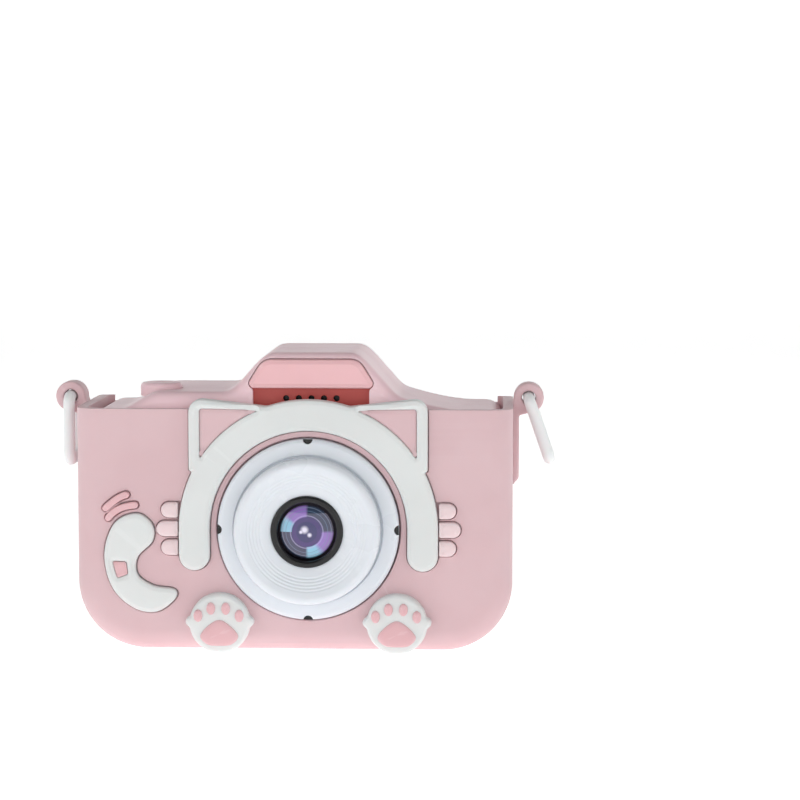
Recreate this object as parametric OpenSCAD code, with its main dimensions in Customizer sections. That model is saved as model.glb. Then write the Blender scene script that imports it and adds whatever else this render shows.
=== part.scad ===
// Children's digital camera in a cat-themed silicone case.
// X runs to the right as seen from the lens side, the lens looks along -Y and Z is up.
// The origin is the middle of the flat underside that the camera stands on.

/* [Silicone case] */
// Width of the case without its strap lugs
case_w = 85; // [80:1:92]
// Height of the front wall's straight top edge
case_h = 47.4; // [45:0.2:49]
// Depth of the case, front to back
case_d = 34; // [32:1:36]
// Thickness of the rubber wall
case_wall = 2; // [1.6:0.1:2.4]
// Radius of the two bottom corners, seen from the front
case_corner_r = 13.5; // [10:0.5:16]
// Rounding of the long edges toward the front and the back
case_edge_r = 4.5; // [3:0.5:5.5]
// Depth of the pockets that hold the coloured inlays
pocket_depth = 1; // [0.6:0.1:1.2]
// Gap round each inlay in its pocket
inlay_gap = 0.2; // [0.1:0.05:0.3]

/* [Camera body] */
// Clearance between the body and the rubber case
body_fit = 0.1; // [0.05:0.05:0.2]
// Thickness of the plastic shells
shell_wall = 1.9; // [1.5:0.1:2.2]
// Height of the top corners of the body
body_corner_z = 46.9; // [46:0.1:47.2]
// Height of the shoulder beside the shutter button
shoulder_z = 50.5; // [50:0.1:51]
// Height of the viewfinder hump
hump_z = 58.2; // [56:0.2:60]
// Sideways place of the hump's middle
hump_x = 3.6; // [2:0.2:5]
// Half width of the hump's flat top
hump_top_hw = 7.5; // [6:0.25:9]
// Half width of the hump's foot
hump_foot_hw = 17.5; // [15:0.25:19]

/* [Lens] */
// Sideways place of the lens axis
lens_x = 3; // [1:0.5:5]
// Height of the lens axis
lens_z = 24.2; // [23:0.2:25]
// Radius of the broad base ring
base_ring_r = 17.6; // [16:0.2:18]
// Radius of the raised ring
barrel_r = 14.1; // [12:0.1:15]
// How far the raised ring's front stands before the middle of the body
barrel_front = 22.6; // [21:0.2:24]
// Radius of the glass
glass_r = 5.6; // [5:0.1:6]

/* [Cat face] */
// Inner radius of the white arch round the lens
arch_inner_r = 19.15; // [18.5:0.05:20]
// Outer radius of the arch
arch_outer_r = 25.1; // [24:0.1:26]
// How far the arch's legs reach below the lens axis
leg_drop = 8.1; // [6:0.1:9]
// How far the inlays stand before the case's front face
inlay_rise = 1.3; // [0.8:0.1:1.6]
// Radius of a paw
paw_r = 5.9; // [5:0.1:6.5]
// Sideways distance of each paw from the lens axis
paw_dx = 17.2; // [16:0.1:18]
// How far a paw stands before the case's front face
paw_rise = 2.4; // [1.5:0.1:3]

/* [Rear panel] */
// Width of the black display window
window_w = 47.4; // [44:0.2:49]
// Height of the black display window
window_h = 37.3; // [34:0.1:38]
// Corner radius of the display window
window_r = 5; // [3:0.5:6]
// Sideways place of the display window's middle
window_x = 4.2; // [3:0.2:5]
// Height of the display window's middle
window_z = 26.2; // [25:0.2:27]
// Radius of a round button
button_r = 2.7; // [2.2:0.1:2.9]
// How far the buttons stand before the rear face
button_rise = 0.7; // [0.4:0.1:0.9]
// Travel of a rear button
button_travel = 0.4; // [0.2:0.05:0.45]

/* [Shutter and strap rings] */
// Radius of the shutter button
shutter_r = 4.1; // [3.5:0.1:4.5]
// Travel of the shutter button
shutter_travel = 0.6; // [0.4:0.05:0.65]
// Distance of each strap ring's pivot from the middle plane
lug_x = 45.6; // [45.5:0.1:47]
// Height of the strap rings' pivots
lug_z = 48.5; // [48:0.1:50]
// Outer radius of a lug's eye
lug_r = 3; // [2.6:0.1:3.1]
// Length of a lug's eye along its bore
lug_len = 5; // [4:0.5:6]
// Radius of the ring's wire
ring_wire_r = 1.15; // [1:0.05:1.2]
// Height of a strap ring between its wires' middles
ring_h = 12.6; // [11:0.2:14]
// Angle that the right ring rests at, outward from hanging straight
ring_right_tilt = 19; // [0:1:30]

/* [Hidden] */
$fn = 48;

silicone_pink = [0.86, 0.73, 0.76];
shell_pink = [0.96, 0.86, 0.88];
coral = [0.90, 0.68, 0.69];
deep_coral = [0.76, 0.36, 0.34];
inlay_white = [0.90, 0.92, 0.92];
black_part = [0.05, 0.05, 0.06];
board_green = [0.10, 0.36, 0.20];
metal_grey = [0.70, 0.70, 0.72];

eps = 0.02;                                  // small extra length of a cutting shape
sky = 80;                                    // a height above the whole camera
front_y = -case_d / 2;                       // front face of the case
rear_y = case_d / 2;                         // back face of the case
shell_d = case_d - 2 * case_wall - 2 * body_fit;
shell_front_y = -shell_d / 2;
shell_rear_y = shell_d / 2;
inner_front_y = shell_front_y + shell_wall;
inner_rear_y = shell_rear_y - shell_wall;
shell_w = case_w - 2 * case_wall - 2 * body_fit;
shell_floor_z = case_wall + body_fit;
shell_corner_r = case_corner_r - case_wall - body_fit;
shell_edge_r = case_edge_r - case_wall;
top_corner_r = 3.4;                          // corner between the body's sides and top
pocket_y = front_y + pocket_depth;           // floor of the inlay pockets
inlay_front_y = front_y - inlay_rise;
paw_z = paw_r;

// The opening at the back of the case, through which the camera is pushed in
rear_open_left = -33.5;
rear_open_right = 31.7;
rear_open_floor = 6.7;
rear_open_r = 5.5;
rear_flange_z = 46;                          // top of the side flanges at the back

// Round rear buttons and the two half-round ones, as [x, z]
power_at = [-25.8, 40.4];
up_at = [-27.9, 29.2];
down_at = [-27.9, 12.5];
pair_at = [-28, 20.8];
pair_gap = 1.7;                              // gap between the two half-round buttons
half_w = 4.3;                                // width of a half-round button
half_r = 3.25;                               // its radius
mic_at = [-21.6, 33.8];
button_hole_gap = 0.15;
flange_t = 0.6;                              // retaining flange of a button
flange_back_y = inner_rear_y - 0.65;
plunger_y = flange_back_y - button_travel - 0.1;
board_y = 9.4;                               // front face of the button board
board_t = 1;

// Shutter button
shutter_at = [-27, -5];
shutter_top_z = shoulder_z + 1.2;
shutter_floor_z = shoulder_z - 2.1;
shutter_boss_z = shoulder_z - 3.5;
stem_r = 1.6;

// Screws that close the shells, as [x, z]; the lower two lie under the rubber flange
screw_at = [[30.2, 44.9], [-18.4, 46.7], [35.2, 12], [-35.2, 12]];
screw_head_r = 1.3;
screw_shank_r = 0.75;
post_r = 2.1;

// Card and charging socket at the underside
card_x = 21.5;
card_w = 11;
card_t = 0.8;
card_len = 15;
card_y = 2.3;
card_low_z = 2.6;
usb_x = 6;
main_y = 4;                                  // front face of the main board
ports_x = 13;                                // middle of the opening in the case's floor
ports_w = 36;
ports_d = 9;

// Speaker grille and hood
glass_dome_r = 24;                           // radius of the front glass's dome
grille_z = 49.3;
grille_w = 22.6;                             // opening before the grille, which runs up behind the hood panel
grille_low_z = 46.6;
grille_y = inner_front_y - 0.2;
hood_low_z = 51.3;
hood_top_z = 57;
hood_low_w = 25.8;
hood_top_w = 18.5;

// Selfie camera at the back of the hump
selfie_x = 4.9;
selfie_z = 51.4;
selfie_w = 11;
selfie_h = 7.4;
alcove_w = 20.8;
alcove_h = 9.6;
alcove_depth = 1.1;

ring_w = 8.4;                                // ring's width between its wires' middles
ring_bend_r = 1.6;                           // bend radius of the ring's wire
lug_bore_r = ring_wire_r + 0.2;
strip_t = 1.2;                               // thickness of the lug's side strip
strip_low_z = 31;

// ---------------------------------------------------------------- curves

// Blend from 0 to 1 with level ends
function smooth(t) = let (u = min(max(t, 0), 1)) u * u * (3 - 2 * u);

// Points on a circular arc
function arc(x, z, r, from, to, steps) =
    [for (i = [0:steps]) let (a = from + (to - from) * i / steps) [x + r * cos(a), z + r * sin(a)]];

// Height of the body's shoulders, without the hump
function shoulder(x) = x < 0
    ? shoulder_z - (shoulder_z - body_corner_z) * smooth((-x - 26) / 9)
    : body_corner_z + (shoulder_z - body_corner_z) * pow(1 - min(max((x - 18) / 16, 0), 1), 1.6);

// Height of the body's top at x
function top_z(x) = shoulder(x)
    + (hump_z - shoulder(x)) * smooth((hump_foot_hw - abs(x - hump_x)) / (hump_foot_hw - hump_top_hw));

// Outline of the body in X and Z, counter-clockwise
function body_outline() = concat(
    arc(-(shell_w / 2 - shell_corner_r), shell_floor_z + shell_corner_r, shell_corner_r, 180, 270, 8),
    arc(shell_w / 2 - shell_corner_r, shell_floor_z + shell_corner_r, shell_corner_r, 270, 360, 8),
    arc(shell_w / 2 - top_corner_r, body_corner_z - top_corner_r, top_corner_r, 0, 90, 4),
    [for (x = [36:-1.5:-36]) [x, top_z(x)]],
    arc(-(shell_w / 2 - top_corner_r), body_corner_z - top_corner_r, top_corner_r, 90, 180, 4));

// Outline of the case, which runs on far above its rim and is cut there
function case_outline(w, floor, r) = concat(
    arc(-(w / 2 - r), floor + r, r, 180, 270, 10),
    arc(w / 2 - r, floor + r, r, 270, 360, 10),
    [[w / 2, sky], [-w / 2, sky]]);

// An outline moved inward by d
function inset(pts, d) = let (n = len(pts))
    [for (i = [0:n - 1])
        let (t = pts[(i + 1) % n] - pts[(i + n - 1) % n])
        pts[i] + d * [-t[1], t[0]] / norm(t)];

// A polygon, counter-clockwise, whose corners are arcs of the given radii; 0 keeps a corner sharp
function round_corners(p, radii) = let (n = len(p))
    [for (i = [0:n - 1])
        let (
            a = p[(i + n - 1) % n] - p[i],
            b = p[(i + 1) % n] - p[i],
            ua = a / norm(a),
            ub = b / norm(b),
            hollow = ua[0] * ub[1] - ua[1] * ub[0] > 0,
            half = acos(ua * ub) / 2,
            middle = p[i] + (ua + ub) / norm(ua + ub) * radii[i] / sin(half),
            from = hollow ? atan2(-ua[0], ua[1]) : atan2(ua[0], -ua[1]),
            turn = hollow ? 2 * half - 180 : 180 - 2 * half)
        each radii[i] == 0 ? [p[i]] : arc(middle[0], middle[1], radii[i], from, from + turn, 6)];

// Unit direction of the line p at its point i
function heading(p, i) = let (d = p[min(i + 1, len(p) - 1)] - p[max(i - 1, 0)]) d / norm(d);

// Outline, counter-clockwise, of a line p with round ends and half width r
function ribbon(p, r) = let (
        n = len(p),
        first = heading(p, 0),
        last = heading(p, n - 1),
        start = atan2(first[0], -first[1]),
        end = atan2(-last[0], last[1]))
    concat(
        [for (i = [1:1:n - 2]) let (d = heading(p, i)) p[i] + r * [d[1], -d[0]]],
        arc(p[n - 1][0], p[n - 1][1], r, end, end + 180, 10),
        [for (i = [n - 2:-1:1]) let (d = heading(p, i)) p[i] - r * [d[1], -d[0]]],
        arc(p[0][0], p[0][1], r, start, start + 180, 10));

// A closed Catmull-Rom curve through a few points
function closed_curve(p, steps) = let (n = len(p))
    [for (i = [0:n - 1], k = [0:steps - 1])
        let (a = p[(i + n - 1) % n], b = p[i], c = p[(i + 1) % n], d = p[(i + 2) % n], t = k / steps)
        0.5 * (2 * b + (c - a) * t + (2 * a - 5 * b + 4 * c - d) * t * t
            + (3 * b - a - 3 * c + d) * t * t * t)];

// Steps of a pair of rounded long edges: each entry is [y, inset]
function edge_steps(d, r, steps) = concat(
    [for (i = [0:steps]) let (a = 90 * i / steps) [-d / 2 + r * (1 - cos(a)), r * (1 - sin(a))]],
    [for (i = [steps:-1:0]) let (a = 90 * i / steps) [d / 2 - r * (1 - cos(a)), r * (1 - sin(a))]]);

// ---------------------------------------------------------------- shared shapes

// A solid through an outline in X and Z, stepped along Y
module lofted(outline, steps) {
    n = len(outline);
    m = len(steps);
    polyhedron(
        points = [for (s = steps) each [for (p = inset(outline, s[1])) [p[0], s[0], p[1]]]],
        faces = concat(
            [[for (i = [n - 1:-1:0]) i]],
            [for (k = [0:m - 2], i = [0:n - 1]) each [
                [k * n + i, k * n + (i + 1) % n, (k + 1) * n + (i + 1) % n],
                [k * n + i, (k + 1) * n + (i + 1) % n, (k + 1) * n + i]]],
            [[for (i = [0:n - 1]) (m - 1) * n + i]]));
}

// Extrudes a shape drawn in X and Z from y0 to y1
module along_y(y0, y1) {
    translate([0, y1, 0]) rotate([90, 0, 0]) linear_extrude(y1 - y0) children();
}

module disc_y(at, r, y0, y1) {
    along_y(y0, y1) translate(at) circle(r);
}

module box(x0, x1, y0, y1, z0, z1) {
    translate([x0, y0, z0]) cube([x1 - x0, y1 - y0, z1 - z0]);
}

module rounded_rect(w, h, r) {
    square([w - 2 * r, h], center = true);
    square([w, h - 2 * r], center = true);
    for (sx = [-1, 1], sz = [-1, 1]) translate([sx * (w / 2 - r), sz * (h / 2 - r)]) circle(r);
}

// A line of width w with round ends, through the points p
module bar(p, w) {
    polygon(ribbon(p, w / 2));
}

// Turns a profile of radius and height about the lens axis; height counts toward the front
module on_lens_axis() {
    translate([lens_x, 0, lens_z]) rotate([90, 0, 0]) rotate_extrude() children();
}

module ring_profile(r0, r1, h0, h1) {
    translate([r0, h0]) square([r1 - r0, h1 - h0]);
}

module body_block() {
    lofted(body_outline(), edge_steps(shell_d, shell_edge_r, 4));
}

// The body less half its wall, which trims what is built on the wall's inside
module body_core() {
    lofted(inset(body_outline(), shell_wall / 2), edge_steps(shell_d - shell_wall, 1.5, 2));
}

module body_hollow() {
    lofted(inset(body_outline(), shell_wall), edge_steps(shell_d - 2 * shell_wall, 0.8, 2));
}

module front_half() {
    box(-case_w, case_w, -case_d, 0, -1, sky);
}

// ---------------------------------------------------------------- inlay outlines, about the lens axis

module arch_outline(grow) {
    middle = (arch_outer_r + arch_inner_r) / 2;
    leg_r = (arch_outer_r - arch_inner_r) / 2;
    polygon(concat(
        arc(0, 0, arch_outer_r + grow, 0, 180, 48),
        arc(-middle, leg_r - leg_drop, leg_r + grow, 180, 360, 12),
        arc(0, 0, arch_inner_r - grow, 180, 0, 40),
        arc(middle, leg_r - leg_drop, leg_r + grow, 180, 360, 12)));
}

ear_outer = 23.1;                            // outer edge of an ear from the lens axis
ear_top = 25.5;                              // top of the ear above the lens axis
ear_tip_r = 2.5;
ear_rim = 2.2;
ear_meet = [8, 23.8];                        // where the ear's top runs into the arch

module ear_outline(grow) {
    polygon(inset(round_corners([
        [ear_outer, 11.3], [ear_outer, ear_top], ear_meet, [8, 20.6], [19.5, 9.5]], [0, ear_tip_r, 0, 0, 0]), -grow));
}

module inner_ear_outline(gap) {
    difference() {
        polygon([
            [ear_outer - ear_rim - gap, 12.6 + gap], [ear_outer - ear_rim - gap, ear_top - ear_rim - gap],
            [ear_meet[0] + 1.5 + gap, ear_meet[1] - 0.7 - gap], [14, 15]]);
        circle(arch_outer_r + gap);
    }
}

module face_outline(grow) {
    arch_outline(grow);
    for (side = [0, 1]) mirror([side, 0]) difference() {
        ear_outline(grow);
        circle(arch_inner_r + 1);
    }
}

// Each whisker reaches to [distance, height] from the lens axis
whisker_tips = [[28.6, 3.65], [29.5, 0], [28.6, -3.65]];
whisker_h = 3;

module whisker_outline(grow) {
    for (tip = whisker_tips)
        bar([[arch_outer_r - 1, tip[1]], [tip[0] - whisker_h / 2, tip[1]]], whisker_h + 2 * grow);
}

// Curled tail, lowest on the wearer's right; places count from the lens axis, heights from the floor
tail_points = [
    [-37.6, 25.3], [-39.7, 19.4], [-38.3, 12.8], [-34.2, 8.7], [-29.6, 7.9], [-26, 10.4], [-26.1, 12.3],
    [-30.2, 13], [-33.3, 15.2], [-33.2, 18.6], [-30.3, 21.7], [-30.3, 24.9], [-33.3, 27.1]];
patch_points = [[-37.2, 14.5], [-35.1, 15.2], [-35.4, 17.7], [-38.1, 17.8]];
swish_lines = [
    [[-39.4, 28.1], [-37.2, 29.9], [-35.4, 30.7]],
    [[-38.9, 26.2], [-36.7, 28], [-33.7, 28.7]]];
swish_w = 1.3;

module tail_outline(grow) {
    translate([lens_x, 0]) polygon(inset(closed_curve(tail_points, 4), -grow));
}

module patch_outline(grow) {
    translate([lens_x, 0]) polygon(inset(patch_points, -grow));
}

module swish_outline(grow) {
    translate([lens_x, 0]) for (line = swish_lines) bar(line, swish_w + 2 * grow);
}

module paw_outline(grow) {
    circle(paw_r + grow);
    for (side = [-1, 1]) translate([side * 5.7, 0.26]) circle(1 + grow);
}

module pad_outlines() {
    for (toe = [[-4.1, 1.6], [-1.6, 3], [1.3, 3], [3.9, 1.6]]) translate(toe) scale([0.85, 1.2]) circle(1, $fn = 24);
    polygon(closed_curve([[0, 0.8], [2.2, -0.4], [3.7, -2.4], [2.4, -4], [0, -4.3], [-2.4, -4], [-3.7, -2.4], [-2.2, -0.4]], 3));
}

module at_paw(side) {
    translate([lens_x + side * paw_dx, paw_z]) children();
}

// ---------------------------------------------------------------- rubber case and its inlays

module rear_opening() {
    polygon(round_corners([
        [rear_open_left, rear_open_floor], [rear_open_right, rear_open_floor],
        [rear_open_right, rear_flange_z], [case_w, rear_flange_z], [case_w, sky], [-case_w, sky],
        [-case_w, rear_flange_z], [rear_open_left, rear_flange_z]],
        [rear_open_r, rear_open_r, rear_open_r, 0, 0, 0, 0, rear_open_r]));
}

module silicone_case() color(silicone_pink) difference() {
    lofted(case_outline(case_w, 0, case_corner_r), edge_steps(case_d, case_edge_r, 5));
    box(-case_w, case_w, -case_d, case_d, case_h, 2 * sky);
    lofted(
        case_outline(case_w - 2 * case_wall, case_wall, case_corner_r - case_wall),
        edge_steps(case_d - 2 * case_wall, case_edge_r - case_wall, 4));
    along_y(rear_y - case_wall - eps, rear_y + 1) rear_opening();
    disc_y([lens_x, lens_z], base_ring_r + 0.3, front_y - 1, front_y + case_wall + eps);
    // pockets for the inlays
    along_y(front_y - 1, pocket_y) {
        translate([lens_x, lens_z]) {
            face_outline(inlay_gap);
            for (side = [0, 1]) mirror([side, 0]) whisker_outline(inlay_gap);
        }
        tail_outline(inlay_gap);
        swish_outline(inlay_gap);
        for (side = [-1, 1]) at_paw(side) paw_outline(0);
    }
    translate([ports_x, 0, -1]) linear_extrude(case_wall + 1 + eps) rounded_rect(ports_w, ports_d, 2);
}

module cat_face() color(inlay_white) along_y(inlay_front_y, pocket_y) translate([lens_x, lens_z])
    difference() {
        face_outline(0);
        for (side = [0, 1]) mirror([side, 0]) inner_ear_outline(-0.1);
    }

module ear_inlays() color(silicone_pink) along_y(inlay_front_y + 0.5, pocket_y) translate([lens_x, lens_z])
    for (side = [0, 1]) mirror([side, 0]) inner_ear_outline(0);

module whiskers() color(inlay_white) along_y(inlay_front_y + 0.2, pocket_y) translate([lens_x, lens_z])
    for (side = [0, 1]) mirror([side, 0]) difference() {
        whisker_outline(0);
        translate([-1, -arch_outer_r]) square([arch_outer_r + 1 + inlay_gap, 2 * arch_outer_r]);
    }

module tail_inlay() color(inlay_white) along_y(inlay_front_y + 0.3, pocket_y) difference() {
    tail_outline(0);
    patch_outline(0);
}

module tail_patch() color(coral) along_y(inlay_front_y + 0.3, pocket_y) patch_outline(-0.1);

module swish_marks() color(coral) along_y(inlay_front_y + 0.6, pocket_y) swish_outline(0);

module paw(side) color(inlay_white) along_y(front_y - paw_rise, pocket_y) at_paw(side) paw_outline(0);
module paw_left() paw(-1);
module paw_right() paw(1);

module paw_pads() color(coral) along_y(front_y - paw_rise - 0.5, front_y - paw_rise)
    for (side = [-1, 1]) at_paw(side) pad_outlines();

// ---------------------------------------------------------------- plastic shells

module hood_outline(gap) {
    translate([hump_x - 0.2, 0]) polygon(inset(round_corners([
        [-hood_low_w / 2, hood_low_z], [hood_low_w / 2, hood_low_z],
        [hood_top_w / 2, hood_top_z], [-hood_top_w / 2, hood_top_z]], [1, 1, 3, 3]), -gap));
}

module grille_opening() {
    translate([hump_x - 0.2 - grille_w / 2, grille_low_z]) square([grille_w, hood_low_z + 0.5 - grille_low_z]);
}

// The grille plate lies in a seat sunk a little into the wall
module grille_plate(gap, thickness) {
    half = grille_w / 2 + 0.9 + gap;
    box(hump_x - 0.2 - half, hump_x - 0.2 + half, grille_y, grille_y + thickness, grille_low_z - 1 - gap, hood_low_z + 0.7 + gap);
}

module at_screws(r, y0, y1) {
    for (at = screw_at) disc_y(at, r, y0, y1);
}

module shutter_cut() {
    translate([shutter_at[0], shutter_at[1], 0]) {
        translate([0, 0, shutter_floor_z]) cylinder(r = shutter_r + 0.2, h = sky);
        translate([0, 0, shutter_boss_z - 1]) cylinder(r = stem_r + 0.2, h = sky);
    }
}

// resize() keeps this shell one closed mesh, since its posts cross the wall where both are curved
module front_shell() color(shell_pink) resize([0, 0, 0]) difference() {
    union() {
        difference() {
            intersection() {
                body_block();
                front_half();
            }
            body_hollow();
        }
        // boss under the shutter button, and the screw posts, ending inside the wall
        intersection() {
            body_core();
            union() {
                translate([shutter_at[0], shutter_at[1], shutter_boss_z])
                    cylinder(r = shutter_r + 0.7, h = shutter_floor_z - shutter_boss_z + 2);
                at_screws(post_r, inner_front_y - 0.3, 0);
            }
        }
    }
    at_screws(0.6, -9, 1);
    shutter_cut();
    disc_y([lens_x, lens_z], 7.2, -case_d, inner_front_y + 1);
    along_y(shell_front_y - 1, shell_front_y + 1) hood_outline(0.1);
    along_y(shell_front_y - 1, inner_front_y + 0.5) grille_opening();
    grille_plate(0.2, 1.8);
}

module round_cut(at) {
    disc_y(at, button_r + button_hole_gap, inner_rear_y - 1, case_d);
}

module half_round(side, grow) {
    // the flat side faces the other half
    translate([pair_at[0] + side * pair_gap / 2, pair_at[1]]) mirror([side > 0 ? 0 : 1, 0])
        intersection() {
            translate([half_w - half_r, 0]) circle(half_r + grow);
            translate([-grow, -2 * half_r]) square([3 * half_r, 4 * half_r]);
        }
}

module rear_shell() color(shell_pink) difference() {
    union() {
        difference() {
            body_block();
            front_half();
            body_hollow();
        }
        intersection() {
            body_core();
            at_screws(post_r, 0, inner_rear_y + 0.3);
        }
    }
    // display window seat and opening
    along_y(shell_rear_y - 1, case_d) translate([window_x, window_z])
        rounded_rect(window_w + 0.2, window_h + 0.2, window_r + 0.1);
    along_y(inner_rear_y - 1, case_d) translate([window_x, window_z]) rounded_rect(42.6, 32.6, 1);
    // alcove of the selfie camera, with the seat of its window
    along_y(shell_rear_y - alcove_depth, case_d) translate([selfie_x, selfie_z])
        rounded_rect(alcove_w, alcove_h, 2.5);
    along_y(inner_rear_y - 1, case_d) translate([selfie_x, selfie_z])
        rounded_rect(selfie_w + 0.1, selfie_h + 0.1, 1.75);
    for (at = [power_at, up_at, down_at]) round_cut(at);
    for (side = [-1, 1]) along_y(inner_rear_y - 1, case_d) half_round(side, button_hole_gap);
    disc_y(mic_at, 0.5, inner_rear_y - 1, case_d);
    at_screws(screw_head_r + 0.1, shell_rear_y - 1.6, case_d);
    at_screws(screw_shank_r + 0.15, -1, case_d);
    // slots of the card and the charging socket
    box(card_x - card_w / 2 - 0.4, card_x + card_w / 2 + 0.4, card_y - 0.3, card_y + card_t + 0.3, 0, 7);
    box(usb_x - 4, usb_x + 4, 0.9, main_y + 0.1, 0, 5);
}

module hood_panel() color(coral) along_y(shell_front_y - 0.6, shell_front_y + 1) hood_outline(0);

module speaker_grille() color(deep_coral) difference() {
    grille_plate(0, 1);
    for (k = [-2:2]) disc_y([hump_x - 0.2 + 2.45 * k, grille_z], 0.55, inner_front_y - 1, inner_front_y + 2);
}

// ---------------------------------------------------------------- lens

module lens_base_ring() color(inlay_white) difference() {
    on_lens_axis() difference() {
        ring_profile(11, base_ring_r, -shell_front_y, -front_y + 1.6);
        // rounded outer edge
        translate([base_ring_r - 1, -front_y + 0.6]) difference() {
            square(2);
            circle(1);
        }
    }
    for (a = [0:90:270])
        disc_y([lens_x + base_ring_r * cos(a), lens_z + base_ring_r * sin(a)], 0.95, -case_d, front_y - 0.4);
}

module lens_barrel() color(inlay_white) on_lens_axis() difference() {
    union() {
        ring_profile(7, barrel_r, -front_y + 1.6, barrel_front);
        ring_profile(7, 10.8, -shell_front_y, -front_y + 1.7);
    }
    // rounded outer edge
    translate([barrel_r - 1.2, barrel_front - 1.2]) difference() {
        square(2);
        circle(1.2);
    }
    // dished front with fine turned grooves
    polygon([[0, barrel_front - 1.5], [7, barrel_front - 1.5], [barrel_r - 1.6, barrel_front],
        [barrel_r - 1.6, barrel_front + 1], [0, barrel_front + 1]]);
    for (r = [9:0.6:11.4]) translate([r, barrel_front - 1.75]) square([0.25, 0.75]);
}

module lens_trim_ring() color(black_part) on_lens_axis()
    ring_profile(glass_r + 0.1, 6.9, barrel_front - 3.2, barrel_front - 1.2);

module lens_front_glass() color([0.15, 0.12, 0.3]) on_lens_axis() intersection() {
    ring_profile(0, glass_r, barrel_front - 2.8, barrel_front);
    translate([0, barrel_front - 1.6 - glass_dome_r]) circle(glass_dome_r, $fn = 240);
}

module lens_holder() color(black_part) on_lens_axis() ring_profile(4, 6.8, 9, barrel_front - 3.3);

module lens_elements() color([0.6, 0.7, 0.8]) on_lens_axis() {
    ring_profile(0, 3.9, 16.4, 17.8);
    ring_profile(0, 3.9, 12, 13);
}

module image_sensor_board() {
    color(board_green) box(lens_x - 8, lens_x + 8, -9, -8, lens_z - 8, lens_z + 8);
    color(black_part) box(lens_x - 2.6, lens_x + 2.6, -9.9, -9, lens_z - 2.6, lens_z + 2.6);
}

// ---------------------------------------------------------------- electronics

module camera_flex() color([0.75, 0.45, 0.15]) box(lens_x - 4, lens_x + 4, -8, main_y, 18, 18.25);

module main_board() {
    color(board_green) difference() {
        box(-17.5, 34, main_y, main_y + 1.2, 7, 44);
        at_screws(post_r + 0.3, 0, case_d);
    }
    color(black_part) {
        box(8, 20, main_y - 1.2, main_y, 24, 36);
        box(-12, -4, main_y - 1, main_y, 27, 35);
        box(24, 30, main_y - 1, main_y, 38, 42);
    }
}

module button_board() color(board_green) difference() {
    box(-37.2, -19.2, board_y, board_y + board_t, 10, 44);
    at_screws(post_r + 0.3, 0, case_d);
}

module button_switches() color(metal_grey) for (at = [power_at, up_at, down_at, pair_at + [2.9, 0], pair_at - [2.9, 0]]) {
    box(at[0] - 1.7, at[0] + 1.7, board_y + board_t, plunger_y - 0.5, at[1] - 1.7, at[1] + 1.7);
    disc_y(at, 0.8, plunger_y - 0.5, plunger_y);
}

module battery() color([0.55, 0.6, 0.66]) box(-32.8, -12, inner_front_y + 0.2, inner_front_y + 5.4, 12, 38);

module speaker() color(black_part) {
    disc_y([lens_x, 46.2], 7, inner_front_y + 1.1, inner_front_y + 3.5);
    disc_y([lens_x, 46.2], 4.5, inner_front_y + 3.5, inner_front_y + 4.6);
}

module microphone() color(metal_grey) disc_y(mic_at, 2, board_y + board_t, inner_rear_y - 0.1);

module display_panel() color([0.2, 0.22, 0.25]) box(window_x - 22, window_x + 22, inner_rear_y - 2.9, inner_rear_y - 0.3, window_z - 18, window_z + 17);

module display_window() color(black_part) along_y(shell_rear_y - 1, shell_rear_y + 0.1)
    translate([window_x, window_z]) rounded_rect(window_w, window_h, window_r);

module display_flex() color([0.75, 0.45, 0.15]) box(window_x - 7, window_x + 7, main_y + 1.2, inner_rear_y - 2.9, 12, 12.25);

module selfie_window() color(black_part) along_y(inner_rear_y, shell_rear_y - alcove_depth + 0.3)
    translate([selfie_x, selfie_z]) rounded_rect(selfie_w, selfie_h, 1.7);

module selfie_lens() color([0.15, 0.15, 0.25]) disc_y([selfie_x, selfie_z], 2.1, inner_rear_y - 0.8, inner_rear_y);

module selfie_camera_module() color(black_part)
    box(selfie_x - 4, selfie_x + 4, inner_rear_y - 5, inner_rear_y - 0.8, selfie_z - 4, selfie_z + 4);

// ---------------------------------------------------------------- controls

module shutter_button() color(shell_pink) translate([shutter_at[0], shutter_at[1], 0]) {
    cap_low_z = shutter_floor_z + shutter_travel + 0.1;
    translate([0, 0, cap_low_z]) rotate_extrude() difference() {
        square([shutter_r, shutter_top_z - cap_low_z]);
        translate([shutter_r - 0.7, shutter_top_z - cap_low_z - 0.7]) difference() {
            square(1);
            circle(0.7);
        }
    }
    translate([0, 0, shutter_boss_z - 0.7]) cylinder(r = stem_r, h = cap_low_z - shutter_boss_z + 0.8);
    translate([0, 0, shutter_boss_z - 0.7]) cylinder(r = stem_r + 1, h = 0.6);
}

module shutter_switch() translate([shutter_at[0], shutter_at[1], 0]) {
    tip_z = shutter_boss_z - 0.7 - shutter_travel - 0.1;
    color(metal_grey) translate([-3, -3, tip_z - 3.5]) cube([6, 6, 2.7]);
    color(metal_grey) translate([0, 0, tip_z - 0.9]) cylinder(r = 1.2, h = 0.9);
    color(board_green) translate([-7, -4.5, tip_z - 4.5]) cube([14, 9, 1]);
}

module round_button(at) color(inlay_white) {
    disc_y(at, button_r, flange_back_y, shell_rear_y + button_rise);
    disc_y(at, button_r + 0.6, flange_back_y, flange_back_y + flange_t);
}

module half_button(side) color(inlay_white) {
    along_y(flange_back_y, shell_rear_y + button_rise) half_round(side, 0);
    along_y(flange_back_y, flange_back_y + flange_t) half_round(side, 0.5);
}

module power_button() round_button(power_at);
module up_button() round_button(up_at);
module down_button() round_button(down_at);
module left_button() half_button(1);
module right_button() half_button(-1);

module usb_port() color(metal_grey) difference() {
    box(usb_x - 3.8, usb_x + 3.8, main_y - 2.9, main_y, 2.4, 8);
    box(usb_x - 3.4, usb_x + 3.4, main_y - 2.5, main_y - 0.6, 2, 7);
}

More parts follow.
